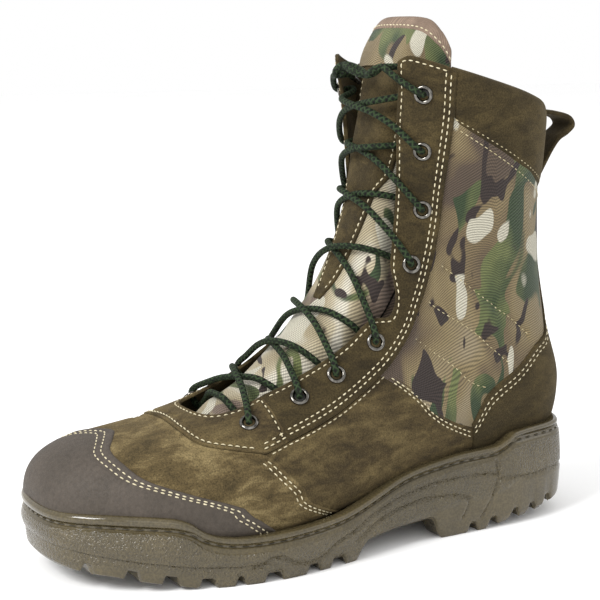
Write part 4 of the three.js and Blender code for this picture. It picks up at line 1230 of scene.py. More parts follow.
@dataclass
class Sole:
    """Rubber unit sole: rolled lip, stitched groove, grained side and cut tread."""

    lip_top: Tuple = (
        (-152, 39.5), (-126, 39.8), (-101, 37.5), (-92, 34.5), (-85, 29.5), (-77, 26.5), (-66, 25),
        (-45, 25), (-10, 27), (12, 32), (39, 40.5), (71, 45.5), (98, 47), (105, 49.5), (112, 53),
        (160, 54),
    )
    roll: Tuple = ((-152, 2.6), (-98, 2.5), (-80, 1.6), (160, 1.5))
    groove_below: Tuple = ((-152, 6.2), (-98, 6.2), (-80, 4.6), (160, 5.0))
    step: Tuple = (
        (-152, 23), (-134, 19.5), (-110, 15.5), (-92, 12.5), (-69, 10.5), (-57, 10.5), (-40, 9),
        (160, 9),
    )
    ground: Tuple = (
        (-152, 13), (-140, 10), (-125, 8), (-108, 4.5), (-88, 1), (-72, 0), (90, 0), (108, 3),
        (127, 4.5), (150, 9), (160, 12),
    )
    base: Tuple = (
        (-152, 19), (-140, 16), (-125, 14), (-108, 10.5), (-88, 7), (-72, 6),
        (0, 6), (8, 8.5), (22, 10), (50, 12), (57, 11.5), (62, 7), (90, 6), (108, 8.5), (127, 10),
        (160, 17),
    )
    notches: Tuple = (
        (-138, 1.5), (-118.8, 4), (-101, 5), (-83.2, 5), (-67, 1.5), (-49, 6.5), (-25, 4.5),
        (-9, 6), (84, 3), (97.5, 3), (112.5, 3), (125.5, 3), (138, 3),
    )
    creases: Tuple = (
        ((-60.7, 8.5), (-56, 10), (-51.5, 12.8), (-44.6, 12.4), (-38.4, 8.4), (-29, 6.5),
         (-20.4, 7.6), (-15.4, 11), (-10.4, 14), (0, 17), (12.3, 22), (33, 27.5), (58.8, 32),
         (87, 32.3), (98, 31)),
        ((2.7, 11.5), (19.3, 18.6), (39.6, 22.8), (58.9, 24), (71.7, 23), (79.6, 19.6),
         (78.4, 13.8), (75.9, 9.5)),
        ((97.7, 42), (99.3, 29.5), (95.4, 18.4), (88.7, 8)),
        ((100.7, 28.7), (117, 27.3), (146.1, 27.9), (160, 28)),
    )

    def edge_lug(self, y: Array) -> Array:
        """1 on an edge lug and 0 in a notch, with sloped sides 2.4 mm long.

        Args:
            y: Places along the sole.

        Returns:
            Shares of the full height.
        """
        lug = smooth((8 - y) / 5) + smooth((y - 58) / 6)
        for centre, width in self.notches:
            lug = lug * smooth((np.abs(y - centre) - width / 2) / 2.4)
        return np.clip(lug, 0, 1)

    def centre_lug(self, x: Array, y: Array) -> Array:
        """Chevron lugs down the middle, 18 mm apart.

        Args:
            x: Places across the sole.
            y: Places along it.

        Returns:
            Shares of the full height.
        """
        saw = (y + 0.55 * np.abs(x + 4)) % 18
        bar = smooth((saw - 1) / 1.5) * smooth((12.5 - saw) / 1.5)
        split = smooth((np.abs(x + 4) - 1.5) / 1.5)
        return bar * split * (smooth((4 - y) / 5) + smooth((y - 64) / 6))

    def crease_depth(self, y: Array, z: Array) -> Array:
        """Depth of the moulded creases: a narrow bell across each crease line.

        Args:
            y: Places along the sole.
            z: Heights on its side.

        Returns:
            Depths in millimetres.
        """
        depth = np.zeros(np.broadcast(y, z).shape)
        for crease in self.creases:
            dense = spline(crease, np.linspace(0, len(crease) - 1, 26 * len(crease)))
            gap = np.full(depth.shape, 99.0)
            for start in range(0, len(dense), 40):
                part = dense[start : start + 40]
                steps = np.hypot(y[..., None] - part[:, 0], z[..., None] - part[:, 1])
                gap = np.minimum(gap, steps.min(-1))
            depth = np.maximum(depth, 1.15 * np.exp(-((gap / 0.95) ** 2)))
        return depth

    def outward(self, loop: Array) -> Array:
        """Outward normals of the outline.

        Args:
            loop: Points of the outline.

        Returns:
            Unit vectors in plan.
        """
        tangent = np.roll(loop, -1, 0) - np.roll(loop, 1, 0)
        normal = np.stack([tangent[:, 1], -tangent[:, 0]], -1)
        return normal / np.linalg.norm(normal, axis=1, keepdims=True)

    def add(self) -> None:
        """Builds the sidewall and tread as one closed surface, and the thread in its groove.

        Going down the side, rows follow the inner wall, the half-round lip, the groove, the band,
        the step and the tread's edge.  The tread is a height field over shares of the way from
        the outline to a line down the middle.
        """
        loop = SOLE_LOOP
        normal = self.outward(loop)
        y = loop[:, 1]
        read = {key: through(getattr(self, key))(y) for key in
                ("lip_top", "roll", "groove_below", "step", "ground", "base")}
        lip, radius = read["lip_top"], read["roll"]
        lug = self.edge_lug(y)
        notch_floor = np.minimum(read["ground"] + 4.8, read["base"])
        arch = smooth((y - 4) / 8) * smooth((62 - y) / 6)
        notch_floor = lerp(notch_floor, read["base"], arch)
        foot = lerp(notch_floor, read["ground"], lug)
        set_in = 1.7 * smooth((y - 100) / 25)
        rows = [(-7.5, read["base"] + 8), (-7.5, lip - 1.5), (-5.5, lip - 0.2)]
        for angle in np.radians(np.linspace(90, -80, 12)):
            rows.append((0.9 - radius - set_in + radius * np.cos(angle),
                         lip - radius + radius * np.sin(angle)))
        groove = lip - read["groove_below"]
        for offset, down in ((-0.8, -0.9), (-1.1, -0.35), (-1.1, 0.35), (-0.3, 0.9), (0.25, 1.7)):
            rows.append((offset, groove - down))
        top = groove - 2.2
        step = np.minimum(read["step"], top - 3)
        step = np.maximum(step, foot + 2.5)
        for share in np.linspace(0, 1, 26)[1:]:
            rows.append((0.3 + 0.9 * np.sin(np.pi * share) * (1 - arch),
                         lerp(top, step + 0.4, share)))
        toe = smooth((-40 - y) / 30)
        rows.append((0.1 - 1.0 * toe, step - 0.2))
        for share in np.linspace(0, 1, 13)[1:]:
            rows.append((lerp(-0.7 * toe, -1.6, share**2), lerp(step - 0.6, foot + 0.8, share)))
        rows.append((-2.2 + 0 * y, foot))
        offset = np.stack([np.broadcast_to(row[0], y.shape) for row in rows], 1)
        height = np.stack([np.broadcast_to(row[1], y.shape) for row in rows], 1)
        side_y = np.broadcast_to(y[:, None], height.shape)
        band = np.arange(len(rows)) >= 20
        offset = offset - self.crease_depth(side_y, height) * band
        plan = loop[:, None] + normal[:, None] * offset[..., None]
        wall = np.concatenate([plan, height[..., None]], -1)
        below = lip[:, None] - height
        spine_y = np.clip(y, -112, 122)
        spine_x = through(((-120, -8), (-60, -1), (-10, 3), (40, 1), (130, 0)))(spine_y)
        spine = np.stack([spine_x, spine_y], -1)
        inner = plan[:, -1]
        share = np.linspace(0, 1, 74)[1:]
        tread = inner[:, None] + (spine - inner)[:, None] * share[None, :, None]
        x_, y_ = tread[..., 0], tread[..., 1]
        in_edge = smooth((0.4 - share) / 0.04)[None, :]
        in_core = smooth((share - 0.5) / 0.05)[None, :]
        mask = np.maximum(in_edge * self.edge_lug(y_), in_core * self.centre_lug(x_, y_))
        ground = through(self.ground)(y_)
        base = through(self.base)(y_)
        bottom = np.concatenate([tread, lerp(base, ground, mask)[..., None]], -1)
        inward = np.linspace(1, 0, 8)[None, :-1, None]
        floor_plan = plan[:, :1] + (spine - plan[:, 0])[:, None] * inward
        floor_z = through(self.base)(floor_plan[..., 1]) + 8
        cup = np.concatenate([floor_plan, floor_z[..., None]], -1)
        surface = np.concatenate([cup, wall, bottom], 1)
        index = np.arange(surface.shape[0] * surface.shape[1]).reshape(surface.shape[:2])
        quads = grid_quads(np.concatenate([index, index[:1]]))
        reach = np.arange(len(loop)) * np.linalg.norm(loop[1] - loop[0])
        depth = np.concatenate([40 + 0 * cup[..., 0], below, 40 + 0 * bottom[..., 0]], 1)
        uv = np.stack([np.broadcast_to(reach[:, None], depth.shape), depth], -1).reshape(-1, 2)
        Piece("sole_unit", surface.reshape(-1, 3), quads, RUBBER, "rubber",
              replaces=("outsole", "midsole"), uv=uv, sharp=38, weld=True).add()
        seam = Stitching("sole_stitches", length=4.6, pitch=6.8, width=0.55, finish=SOLE_THREAD,
                         slot="plastic")
        place = np.concatenate([loop - normal * 0.9, groove[:, None]], 1)
        seam.along(np.concatenate([place, place[:1]]),
                   np.concatenate([np.c_[normal, 0 * y], np.c_[normal, 0 * y][:1]]))
        seam.add()


# ---------------------------------------------------------------- upper


def facing_outer(u: Array) -> Array:
    """Outer edge of the facing: along each quarter, with the vamp's seam between.

    Args:
        u: Shares of the edge.

    Returns:
        Sections and angles.
    """
    u = np.asarray(u, float)
    end, top = 0.09, 5.97
    from_end = np.minimum(u, 1 - u) / end
    side = np.where(u < 0.5, 1, -1)
    phi = lerp(SHELL_EDGE, -SHELL_EDGE, (u - end) / (1 - 2 * end))
    corner = VAMP_REAR(np.float64(SHELL_EDGE))
    t = np.where(from_end < 1, lerp(top, corner, from_end), VAMP_REAR(np.abs(phi)))
    return np.stack([t, np.where(from_end < 1, side * SHELL_EDGE, phi)], -1)


def quarter_top(u: Array) -> Array:
    """Top edge of the quarter: along the eyestay, then under the cloth.

    Args:
        u: Shares of the edge.

    Returns:
        Sections and angles.
    """
    u = np.asarray(u, float)
    split = 0.7
    t = lerp(5.52, FABRIC_CORNER[0], np.minimum(u / split, 1))
    f = np.maximum((u - split) / (1 - split), 0)
    low = np.stack([t, STAY_REAR(t)], -1)
    high = np.stack([lerp(FABRIC_CORNER[0], 8.97, f), lerp(FABRIC_CORNER[1], 109, f)], -1)
    return np.where((u < split)[..., None], low, high)


def quilting(t: Array, phi: Array) -> Array:
    """Grooves of the three slanted quilting seams of the ankle, and the puff between them.

    Args:
        t: Sections.
        phi: Angles in degrees.

    Returns:
        Heights in millimetres.
    """
    side = np.abs(phi)
    depth = np.zeros_like(t)
    for seam in QUILT_SEAMS:
        line = through([(angle, section) for section, angle in seam])(side)
        inside = smooth((side - seam[0][1]) / 3) * smooth((seam[-1][1] - side) / 3)
        gap = np.abs(t - line) * 23
        depth = np.maximum(depth, inside * 1.7 * np.exp(-((gap / 2.4) ** 2)))
    return 0.5 - depth


QUILT_SEAMS = (
    ((10.33, 64), (10.4, 70), (10.57, 83), (10.7, 90), (10.84, 99), (10.95, 112)),
    ((9.55, 65), (9.65, 73), (9.81, 81), (9.93, 87), (10.03, 94), (10.1, 102)),
    ((8.9, 69), (9.02, 76), (9.1, 81), (9.25, 88), (9.38, 95), (9.5, 99)),
)


@dataclass
class Upper:
    """Leather and cloth panels of the upper, their stitching and their quilting."""

    thread: Stitching = field(default_factory=lambda: Stitching("upper_stitches"))
    quilting: Stitching = field(
        default_factory=lambda: Stitching(
            "quilting_stitches", length=2.2, pitch=3.4, width=0.55, finish=QUILT_THREAD
        )
    )

    def add_forefoot(self) -> None:
        """Vamp, toe cap over it and throat facing over both."""
        cap_line = by_angle(CAP_EDGE, -FEATHER, FEATHER)
        rear = by_angle(VAMP_REAR, -FEATHER, FEATHER)
        seams = tuple(("v1", distance, low, high) for distance in (3.2, 5.9)
                      for low, high in ((0.03, 0.26), (0.74, 0.97)))
        Panel("vamp_leather", ("vamp",), cap_line, rear, Level.VAMP.value, SUEDE, "suede",
              columns=200, rows=34, cut="v1", seams=seams, waviness=0.45).add(self.thread)
        tip = round_at(0.4, -FEATHER, FEATHER)
        Panel("toe_cap_leather", ("toe_cap",), tip, cap_line, Level.CAP.value, CAP_LEATHER,
              "cap_leather", columns=190, rows=60, cut="v1", waviness=0.12, drop=1.7,
              seams=double_row("v1", 3.6, 2.8, 0.02, 0.98)).add(self.thread)
        seams = (("v0", 2.6, 0.11, 0.89), ("v1", 2.4, 0.02, 0.98), ("u0", 2.4, 0.1, 0.92),
                 ("u1", 2.4, 0.1, 0.92), ("v0", 2.6, 0.0, 0.09), ("v0", 5.2, 0.0, 0.09),
                 ("v0", 2.6, 0.91, 1.0), ("v0", 5.2, 0.91, 1.0))
        Panel("throat_facing_leather", ("throat_facing",), facing_outer, edge(FACING_INNER),
              Level.FACING.value, SUEDE_DARK, "suede", columns=120, rows=26, cut="u0u1v0v1",
              seams=seams).add(self.thread)

    def add_quarters(self) -> None:
        """Quarters, shaft cloth, heel cover and eyestays, from the lowest layer up."""
        foot = by_section(FEATHER_LINE, 6.83, 8.8)
        front = by_angle(VAMP_REAR, SHELL_EDGE, FEATHER)
        cloth_rear = part(edge(HEEL_TOP), 0.0, (len(HEEL_TOP) - 2) / (len(HEEL_TOP) - 1))
        cloth_front = by_section(STAY_REAR, FABRIC_CORNER[0], COLLAR_SEAM)
        for side, name in SIDES:
            pick = (lambda line: line) if side > 0 else mirrored
            if side > 0:
                Panel("shaft_cloth_lateral", ("fabric_lateral",), cloth_front, cloth_rear,
                      Level.CLOTH.value, CAMO, "camo_cloth", columns=150, rows=110, relief=quilting,
                      under=3, held="stretched").add()
            seams = double_row("v0", 2.8, 2.6, 0.71, 1.0) + (("v0", 1.6, 0.02, 0.69),)
            Panel(f"quarter_leather_{name}", (f"quarter_{name}",), pick(quarter_top), pick(foot),
                  Level.QUARTER.value, SUEDE_DARK, "suede", columns=120, rows=80, cut="v0",
                  front=pick(front), seams=seams, waviness=0.5, under=3).add(self.thread)
            self.add_eyestay(side, name)
        for side in (1, -1):
            for seam in QUILT_SEAMS:
                line = spline(seam, np.linspace(0.1, len(seam) - 1.1, 120))
                if side < 0:  # the inner side's rows end before the zip
                    line = line[FORM.point(line[:, 0], -line[:, 1])[:, 1] < ZIP_LINE_Y - ZIP_CLEAR]
                if len(line) > 3:
                    height = Level.CLOTH.value + quilting(line[:, 0], line[:, 1]) + 0.05
                    self.quilting.on_form(line[:, 0], side * line[:, 1], height)
        self.add_medial_cloth(cloth_front, cloth_rear)
        back = [(t, 360 - phi) for t, phi in HEEL_TOP[-2::-1]]
        back_foot = [(t, 360 - phi) for t, phi in HEEL_FOOT[-2::-1]]
        Panel("heel_cover_leather", ("heel_cover",), edge(list(HEEL_TOP) + back),
              edge(list(HEEL_FOOT) + back_foot), Level.HEEL.value, SUEDE_SHAFT, "suede",
              columns=230, rows=70, cut="u0u1v0", waviness=0.4, under=3,
              seams=double_row("v0", 2.8, 2.6, 0.005, 0.995)).add(self.thread)

    def add_medial_cloth(self, cloth_front: Line, cloth_rear: Line) -> None:
        """Cloth of the inner side, in a piece before and a piece behind the zip and one below it.

        The zip's two edges are lines of constant y on the form.

        Args:
            cloth_front: Front edge of the whole cloth, on the outer side; not used.
            cloth_rear: Its rear edge, on the outer side.
        """
        low, zip_low, half = FABRIC_CORNER[0], 9.78, ZIP_WINDOW / 2
        front = mirrored(by_section(STAY_REAR, zip_low, COLLAR_SEAM))
        common = {"finish": CAMO, "slot": "camo_cloth", "under": 3.0, "held": "stretched"}
        Panel("shaft_cloth_medial_front", ("fabric_medial",), front,
              beside_zip(-half, zip_low, COLLAR_SEAM), Level.CLOTH.value, columns=110, rows=40,
              cut="v1", relief=quilting,
              seams=(("v1", 2.4, 0.02, 0.98),), **common).add(self.thread)
        share = np.linspace(0, 1, 200)
        whole = mirrored(cloth_rear)
        start = np.interp(zip_low, whole(share)[:, 0], share)
        Panel("shaft_cloth_medial_rear", (), beside_zip(half, zip_low, COLLAR_SEAM),
              part(whole, start, 1.0), Level.CLOTH.value,
              columns=110, rows=50, cut="v0", relief=quilting,
              seams=(("v0", 2.4, 0.02, 0.98),), **common).add(self.thread)
        fore = mirrored(by_section(STAY_REAR, low, zip_low))
        Panel("shaft_cloth_medial_foot", (), fore, part(whole, 0.0, start), Level.CLOTH.value,
              columns=50, rows=110, relief=quilting, **common).add()

    def add_eyestay(self, side: int, name: str) -> None:
        """Strip of suede that carries the eyelets of one side.

        Args:
            side: 1 on the outer side and -1 on the inner.
            name: Name of that side.
        """
        front = by_section(STAY_FRONT, 5.9, COLLAR_TOP + 0.12, side)
        rear = by_section(STAY_REAR, 5.9, COLLAR_TOP + 0.02, side)

        def rounded_top(v: Array) -> Array:
            """Top end with a wide corner in front and a small one behind.

            Args:
                v: Shares from the front edge to the rear.

            Returns:
                Sections and angles.
            """
            v = np.asarray(v, float)
            low, high = front(np.float64(1)), rear(np.float64(1))
            spot = low + (high - low) * v[..., None]
            spot[..., 0] -= 0.26 * np.clip(1 - v / 0.3, 0, 1) ** 2.2
            spot[..., 0] -= 0.12 * np.clip((v - 0.85) / 0.15, 0, 1) ** 2
            return spot

        seams = (("v0", 2.9, 0.015, 0.985), ("v1", 3.0, 0.012, 0.985), ("v1", 5.6, 0.012, 0.985),
                 ("u1", 3.2, 0.08, 0.86))
        Panel(f"eyestay_leather_{name}", (f"eyestay_{name}",), front, rear, Level.STAY.value,
              SUEDE_SHAFT, "suede", columns=230, rows=26, cut="u1v0v1", seams=seams, waviness=0.3,
              under=4, end=rounded_top).add(self.thread)

    def add_collar(self) -> None:
        """Padded collar: one closed roll from the lower seam over the top and down the inside."""
        section = np.array([
            (13.86, -0.4), (13.9, 0.9), (14.02, 1.9), (14.25, 2.6), (14.5, 2.6), (14.75, 2.0),
            (14.93, 0.9), (15.02, -0.6), (15.06, -2.8), (15.05, -5.0), (15.0, -7.0),
            (14.88, -8.6), (14.6, -9.3), (14.2, -9.3), (13.9, -8.9), (13.8, -6.0), (13.8, -2.0),
        ])
        turn = spline(np.concatenate([section[-1:], section, section[:2]]),
                      1 + np.linspace(0, len(section), 73)[:-1])
        zip_edges = [FORM.inner_angle(np.array([COLLAR_SEAM, COLLAR_TOP]), ZIP_LINE_Y + offset)
                     for offset in (-ZIP_WINDOW / 2, ZIP_WINDOW / 2)]
        bands = (
            ("lateral", (66.0, 67.0), (180.0, 180.0), 90),
            ("medial_front", (-66.0, -67.0), zip_edges[0], 24),
            ("medial_rear", zip_edges[1], (-180.0, -180.0), 70),
        )
        for name, start, end, count in bands:
            u = np.linspace(0, 1, count)[:, None]
            f = (turn[None, :, 0] - COLLAR_SEAM) / (COLLAR_TOP - COLLAR_SEAM)
            phi = lerp(lerp(start[0], start[1], f), lerp(end[0], end[1], f), u)
            t = np.broadcast_to(turn[None, :, 0], phi.shape)
            ends = np.exp(-((u * count) ** 2) / 6) + np.exp(-(((1 - u) * count) ** 2) / 6)
            pinch = 1 - 0.25 * ends
            middle = -3.2
            height = middle + (turn[None, :, 1] - middle) * pinch
            height = height + 0.25 * np.sin(phi / 4.5) * np.sin(t * 9)
            points, faces = closed_tube(FORM.at(t, phi, height))
            collar = Piece(f"collar_padding_{name}", points, faces, SUEDE_SHAFT, "suede",
                           replaces=(f"collar_{name}",), sharp=60).add()
            line = np.linspace(0.01, 0.99, 120)
            angle = lerp(start[0], end[0], line)
            for t_row, lift in ((13.95, 1.35), (13.76, 0.75)):
                self.quilting.on_form(t_row + 0 * angle, angle, lift + 0 * angle)

    def add(self) -> None:
        """Builds the whole upper."""
        self.add_forefoot()
        self.add_quarters()
        self.add_collar()
        self.thread.add()
        self.quilting.add()


# ---------------------------------------------------------------- tongue

TONGUE_HALF = through(((4.6, 24), (5.2, 36), (6.5, 44), (8, 50), (13, 50), (14.9, 58)))
OVERLAY_HALF = through(((8, 2), (8.6, 8), (9.6, 11), (10.6, 15), (11.4, 22), (14.9, 22)))
TONGUE_CROWN = through(
    ((4.8, -1.6), (5.6, -0.4), (6.8, 1.6), (11.6, 1.8), (13, -2.4), (14, -8.5), (15, -14.5),
     (17, -23))
)


def tongue_face(t: Array, phi: Array) -> Array:
    """Height of the tongue: it dips under the eyestays and rises to its crown between them.

    Args:
        t: Sections.
        phi: Angles in degrees.

    Returns:
        Heights in millimetres.
    """
    past_stay = np.abs(phi) - STAY_FRONT(np.maximum(t, 6))
    crown = smooth((t - 4.85) / 0.6) * (1 - smooth((past_stay + 18) / 22))
    return lerp(np.minimum(-8.3, TONGUE_CROWN(t) - 1), TONGUE_CROWN(t), crown)


@dataclass
class Tongue:
    """Padded tongue with a suede overlay, bellows and a bound top that folds forward."""

    flap_side: float = 70
    fold_low: float = 14.55

    def add_body(self) -> None:
        """Cloth, overlay, padding behind them and the bellows at both sides."""
        side: Callable[[int], Line] = lambda s: by_section(TONGUE_HALF, 4.75, 14.95, s)
        cloth = lambda t, phi: tongue_face(t, phi) - 1.4
        Panel("tongue_cloth", ("tongue",), side(-1), side(1), cloth, CAMO_PALE, "camo_cloth",
              columns=150, rows=60, under=0.0, thickness=1.2, waviness=0.3, held="stretched").add()
        thread = Stitching("tongue_stitches", pitch=3.4, length=2.3, width=0.8)
        over: Callable[[int], Line] = lambda s: by_section(OVERLAY_HALF, 8.05, 14.93, s)
        Panel("tongue_overlay_leather", ("tongue_overlay",), over(-1), over(1), tongue_face,
              SUEDE_SHAFT, "suede", columns=130, rows=34, cut="u0u1v0v1", thickness=1.2, drop=1.0,
              seams=(("v0", 2.6, 0.03, 0.97), ("v1", 2.6, 0.03, 0.97), ("u1", 2.8, 0.06, 0.94)),
              waviness=0.5).add(thread)
        pad = lambda t, phi: np.minimum(tongue_face(t, phi) - 4.2, -9.0)
        half = lambda t: TONGUE_HALF(t) - 7
        pad_side: Callable[[int], Line] = lambda s: by_section(half, 6.2, 14.8, s)
        padding = Panel("tongue_fleece", ("tongue_padding",), pad_side(-1), pad_side(1), pad,
                        FLEECE, "fleece", columns=80, rows=40, under=0.0, thickness=4.0,
                        waviness=0.3).add()
        for sign, name in SIDES:
            inside = lambda t: TONGUE_HALF(t) + 1.5
            outside = lambda t: STAY_REAR(t) + 1
            Panel(f"bellows_{name}", (f"gusset_{name}",), by_section(inside, 6.4, 12.8, sign),
                  by_section(outside, 6.4, 12.8, sign), -9.2, CAMO, "camo_cloth", columns=60,
                  rows=8, under=0.0, thickness=0.7, waviness=0.1, held="folded").add()
        thread.add()

    def add_top(self) -> None:
        """Free top: a padded cloth flap with tape round its rim.

        The flap's rim height follows a half ellipse of the angle, and its thickness swells
        towards the middle.
        """
        count = 90
        phi = np.linspace(-self.flap_side, self.flap_side, count)
        rim = 15.1 + 1.55 * np.maximum(1 - np.abs(phi / (self.flap_side + 3)) ** 2.6, 0) ** 0.55
        share = np.linspace(0, 1, 46)
        t = lerp(self.fold_low, rim[:, None], share[None])
        angle = np.broadcast_to(phi[:, None], t.shape)
        swell = 1.0 * np.sin(np.pi * np.clip(share, 0, 1)) ** 0.7
        level = TONGUE_CROWN(t)
        face = level + 1.4 + swell[None]
        rest = level - 2.6 - 0.4 * swell[None]
        points, quads = closed_sheet(FORM.at(t, angle, face), FORM.at(t, angle, rest))
        reach = np.stack([angle * 0.75, t * 17.5], -1).reshape(-1, 2)
        flap = Piece("tongue_flap", points, quads, CAMO, "camo_cloth", body="", sharp=60,
                     replaces=("tongue_top",), uv=np.concatenate([reach, reach])).add()
        self.bend(flap)
        rim_path = FORM.at(rim, phi, TONGUE_CROWN(rim) - 0.6)
        down = FORM.at(rim - 0.1, phi, TONGUE_CROWN(rim - 0.1) - 0.6) - rim_path
        down /= np.linalg.norm(down, axis=1, keepdims=True)
        normal = FORM.normal(rim, phi)
        fold = np.array([
            (7.4, 2.0), (7.2, 2.9), (5.2, 3.2), (2.4, 3.2), (0.4, 2.9), (-1.2, 1.9), (-1.8, 0.0),
            (-1.2, -1.9), (0.4, -2.9), (2.4, -3.2), (5.2, -3.2), (7.2, -2.9), (7.4, -2.0),
            (3.0, -1.6), (1.2, 0.0), (3.0, 1.6),
        ])
        ring = spline(np.concatenate([fold[-1:], fold, fold[:2]]),
                      1 + np.linspace(0, len(fold), 41)[:-1])
        rings = (rim_path[:, None] + ring[None, :, :1] * down[:, None]
                 + ring[None, :, 1:] * normal[:, None])
        points, faces = closed_tube(rings)
        long = np.broadcast_to((phi * 0.85)[:, None], rings.shape[:2])
        around = np.broadcast_to(np.arange(40)[None] * 0.6, rings.shape[:2])
        Piece("tongue_binding_tape", points, faces, TAPE, "binding_tape", body="tongue_top",
              replaces=("tongue_binding",), uv=np.stack([long, around], -1).reshape(-1, 2),
              sharp=60).add()
        seam = Stitching("binding_stitches", pitch=3.3, length=2.2, width=0.75, body="tongue_top")
        for lift in (1, -1):
            path = rim_path + down * 5.6 + normal * 3.25 * lift
            seam.along(path, normal * lift)
        seam.add()

    def bend(self, piece: bpy.types.Object) -> None:
        """Bakes the flap's placement into its mesh; two points where it leaves the tongue are
        worked out but not used.

        Args:
            piece: The flap's object.
        """
        low = FORM.at(np.float64(14.7), np.float64(0.0), np.float64(-7)) + OFFSET
        high = FORM.at(np.float64(15.25), np.float64(0.0), np.float64(-7)) + OFFSET
        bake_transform(piece)

    def add(self) -> None:
        """Builds the whole tongue."""
        self.add_body()
        self.add_top()


# ---------------------------------------------------------------- eyelets and lace

MOUTH = (-1.0, 1.8)  # heights of the lace as it comes up through an eyelet
BEHIND = -2.9  # height at which it enters an eyelet from behind


@dataclass
class Lacing:
    """Rolled eyelets and one braided lace that crosses between them."""

    radius: float = 1.75
    bore: float = 2.9
    flange: float = 5.0
    under: float = -5.4
    low: float = 3.8
    high: float = 7.3
    twist_t: float = 14.55
    twist_half: float = 20
    tuck_end: float = 39

    def add_eyelets(self) -> None:
        """Each eyelet is a rolled profile turned round its axis, over a near-black plug that paints
        the shade in its hole.
        """
        angle = np.radians(np.linspace(190, -10, 13))
        middle, roll = (self.bore + self.flange) / 2, (self.flange - self.bore) / 2
        dome = np.stack([middle + roll * np.cos(angle), 1.0 * np.sin(angle) + 0.25], -1)
        profile = np.concatenate([[(self.bore - 0.1, -1.6)], dome,
                                  [(self.flange - 0.4, -0.2), (3.2, -0.3), (3.2, -1.6)]])
        turn = np.radians(np.arange(40) * 9.0)
        for side, name in SIDES:
            for k, (t, phi) in enumerate(EYELETS):
                level = Level.FACING.value if k == 0 else Level.STAY.value
                centre = FORM.at(np.float64(t), np.float64(side * phi), np.float64(level))
                axis = FORM.normal(np.float64(t), np.float64(side * phi))
                one = np.cross(axis, (0.0, 0.0, 1.0))
                one /= np.linalg.norm(one)
                two = np.cross(axis, one)
                ring = np.cos(turn)[:, None] * one + np.sin(turn)[:, None] * two
                out, up = profile.T[..., None, None]
                points = centre + out * ring[None] + up * axis
                index = np.arange(points.shape[0] * 40).reshape(-1, 40)
                wrapped = np.concatenate([index, index[:, :1]], 1)
                wrapped = np.concatenate([wrapped, wrapped[:1]])
                Piece(f"eyelet_ring_{name}_{k + 1}", points.reshape(-1, 3), grid_quads(wrapped),
                      NICKEL, "dark_nickel", replaces=(f"eyelet_{name}_{k + 1}",), sharp=60).add()
                # Near-black plug in the hole: painted shade.
                rows = np.array([(self.bore + 0.1, -0.5), (self.bore + 0.1, -0.25), (1.6, -0.2)])
                out, up = rows.T[..., None, None]
                points, faces = closed_tube(centre + out * ring[None] + up * axis)
                Piece(f"eyelet_hole_shade_{name}_{k + 1}", points, faces, HOLE_SHADE, "plastic", sharp=60).add()

    def spot(self, side: int, k: int) -> Array:
        """Section and angle of an eyelet."""
        return np.array([EYELETS[k][0], side * EYELETS[k][1]])

    def between(self, a: Array, b: Array, share: float, height: float) -> Array:
        """Place on the way from a to b at a height over the form."""
        return FORM.at(*lerp(a, b, share), height)

    def crossing(self, a: Array, b: Array, height: float) -> List[Array]:
        """Up through eyelet a, over the tongue, under the far eyestay and up through b.

        Args:
            a: Section and angle of the lower eyelet.
            b: Those of the upper one, on the other side.
            height: Height of the lace where it crosses the middle.

        Returns:
            Points of the route.
        """
        side = np.sign(a[1])
        far = 1 / np.linalg.norm(FORM.point(*a) - FORM.point(*b))
        share_at = lambda phi: (phi - a[1]) / (b[1] - a[1])
        near = share_at(side * STAY_FRONT(np.maximum(a[0], 6)))
        away = share_at(-side * STAY_FRONT(np.maximum(b[0], 6)))
        middle = share_at(0)
        rise = lerp(height, 4.3, 0.5)
        fall = 5.4 if height > 5 else 3.6
        route = (
            (1.2 * far, 4.3), (4.4 * far, 5.0), (near, 4.3), (lerp(near, middle, 0.55), rise),
            (middle, height), (lerp(away, middle, 0.55), fall), (away - 5 * far, -1.3),
            (away - 1.4 * far, -3.9), (away + 3 * far, self.under), (1 - 3.8 * far, self.under),
            (1 - 1.3 * far, self.under + 0.6),
        )
        return [*(FORM.at(*a, h) for h in MOUTH), *(self.between(a, b, *step) for step in route),
                FORM.at(*b, BEHIND)]

    def bottom_bar(self) -> List[Array]:
        """Straight run behind the facing between the two lowest eyelets.

        Returns:
            Points of the route.
        """
        a, b = self.spot(-1, 0), self.spot(1, 0)
        far = 1 / np.linalg.norm(FORM.point(*a) - FORM.point(*b))
        shares = (1.3 * far, 3.8 * far, 0.25, 0.4, 0.5, 0.6, 0.75, 1 - 3.8 * far, 1 - 1.3 * far)
        lifts = (0.6, 0, 2.0, 6.4, 6.9, 6.4, 2.0, 0, 0.6)
        run = [self.between(a, b, share, self.under + lift) for share, lift in zip(shares, lifts)]
        return [FORM.at(*a, BEHIND), *run, FORM.at(*b, BEHIND)]

    def tucked_end(self, side: int) -> List[Array]:
        """From the top eyelet once round the other end, and behind the far eyestay.

        Args:
            side: 1 for the end that starts on the outer side, and -1 for the other.

        Returns:
            Points of the route.
        """
        a = self.spot(side, len(EYELETS) - 1)
        b = np.array([self.twist_t, side * (self.twist_half + 4)])
        far = 1 / np.linalg.norm(FORM.point(*a) - FORM.point(*b))
        start = [FORM.at(*a, h) for h in MOUTH]
        start += [self.between(a, b, share, h)
                  for share, h in ((1.2 * far, 4.2), (4.4 * far, 4.8), (0.7, 4.2))]
        turns, around = 12, 2.35
        for k in range(turns + 1):
            angle = np.pi * (0.5 + 3 * k / turns)
            phi = side * lerp(self.twist_half, -self.twist_half, k / turns)
            t = self.twist_t + around * np.sin(angle) * side / 17
            start.append(FORM.at(t, phi, 4.0 + around * np.cos(angle) * side))
        t = self.twist_t - side * 0.14
        tuck = ((24, -0.6), (28, -4.2), (33, -5.6), (self.tuck_end, -6.0))
        return start + [FORM.at(t, -side * phi, h) for phi, h in tuck]

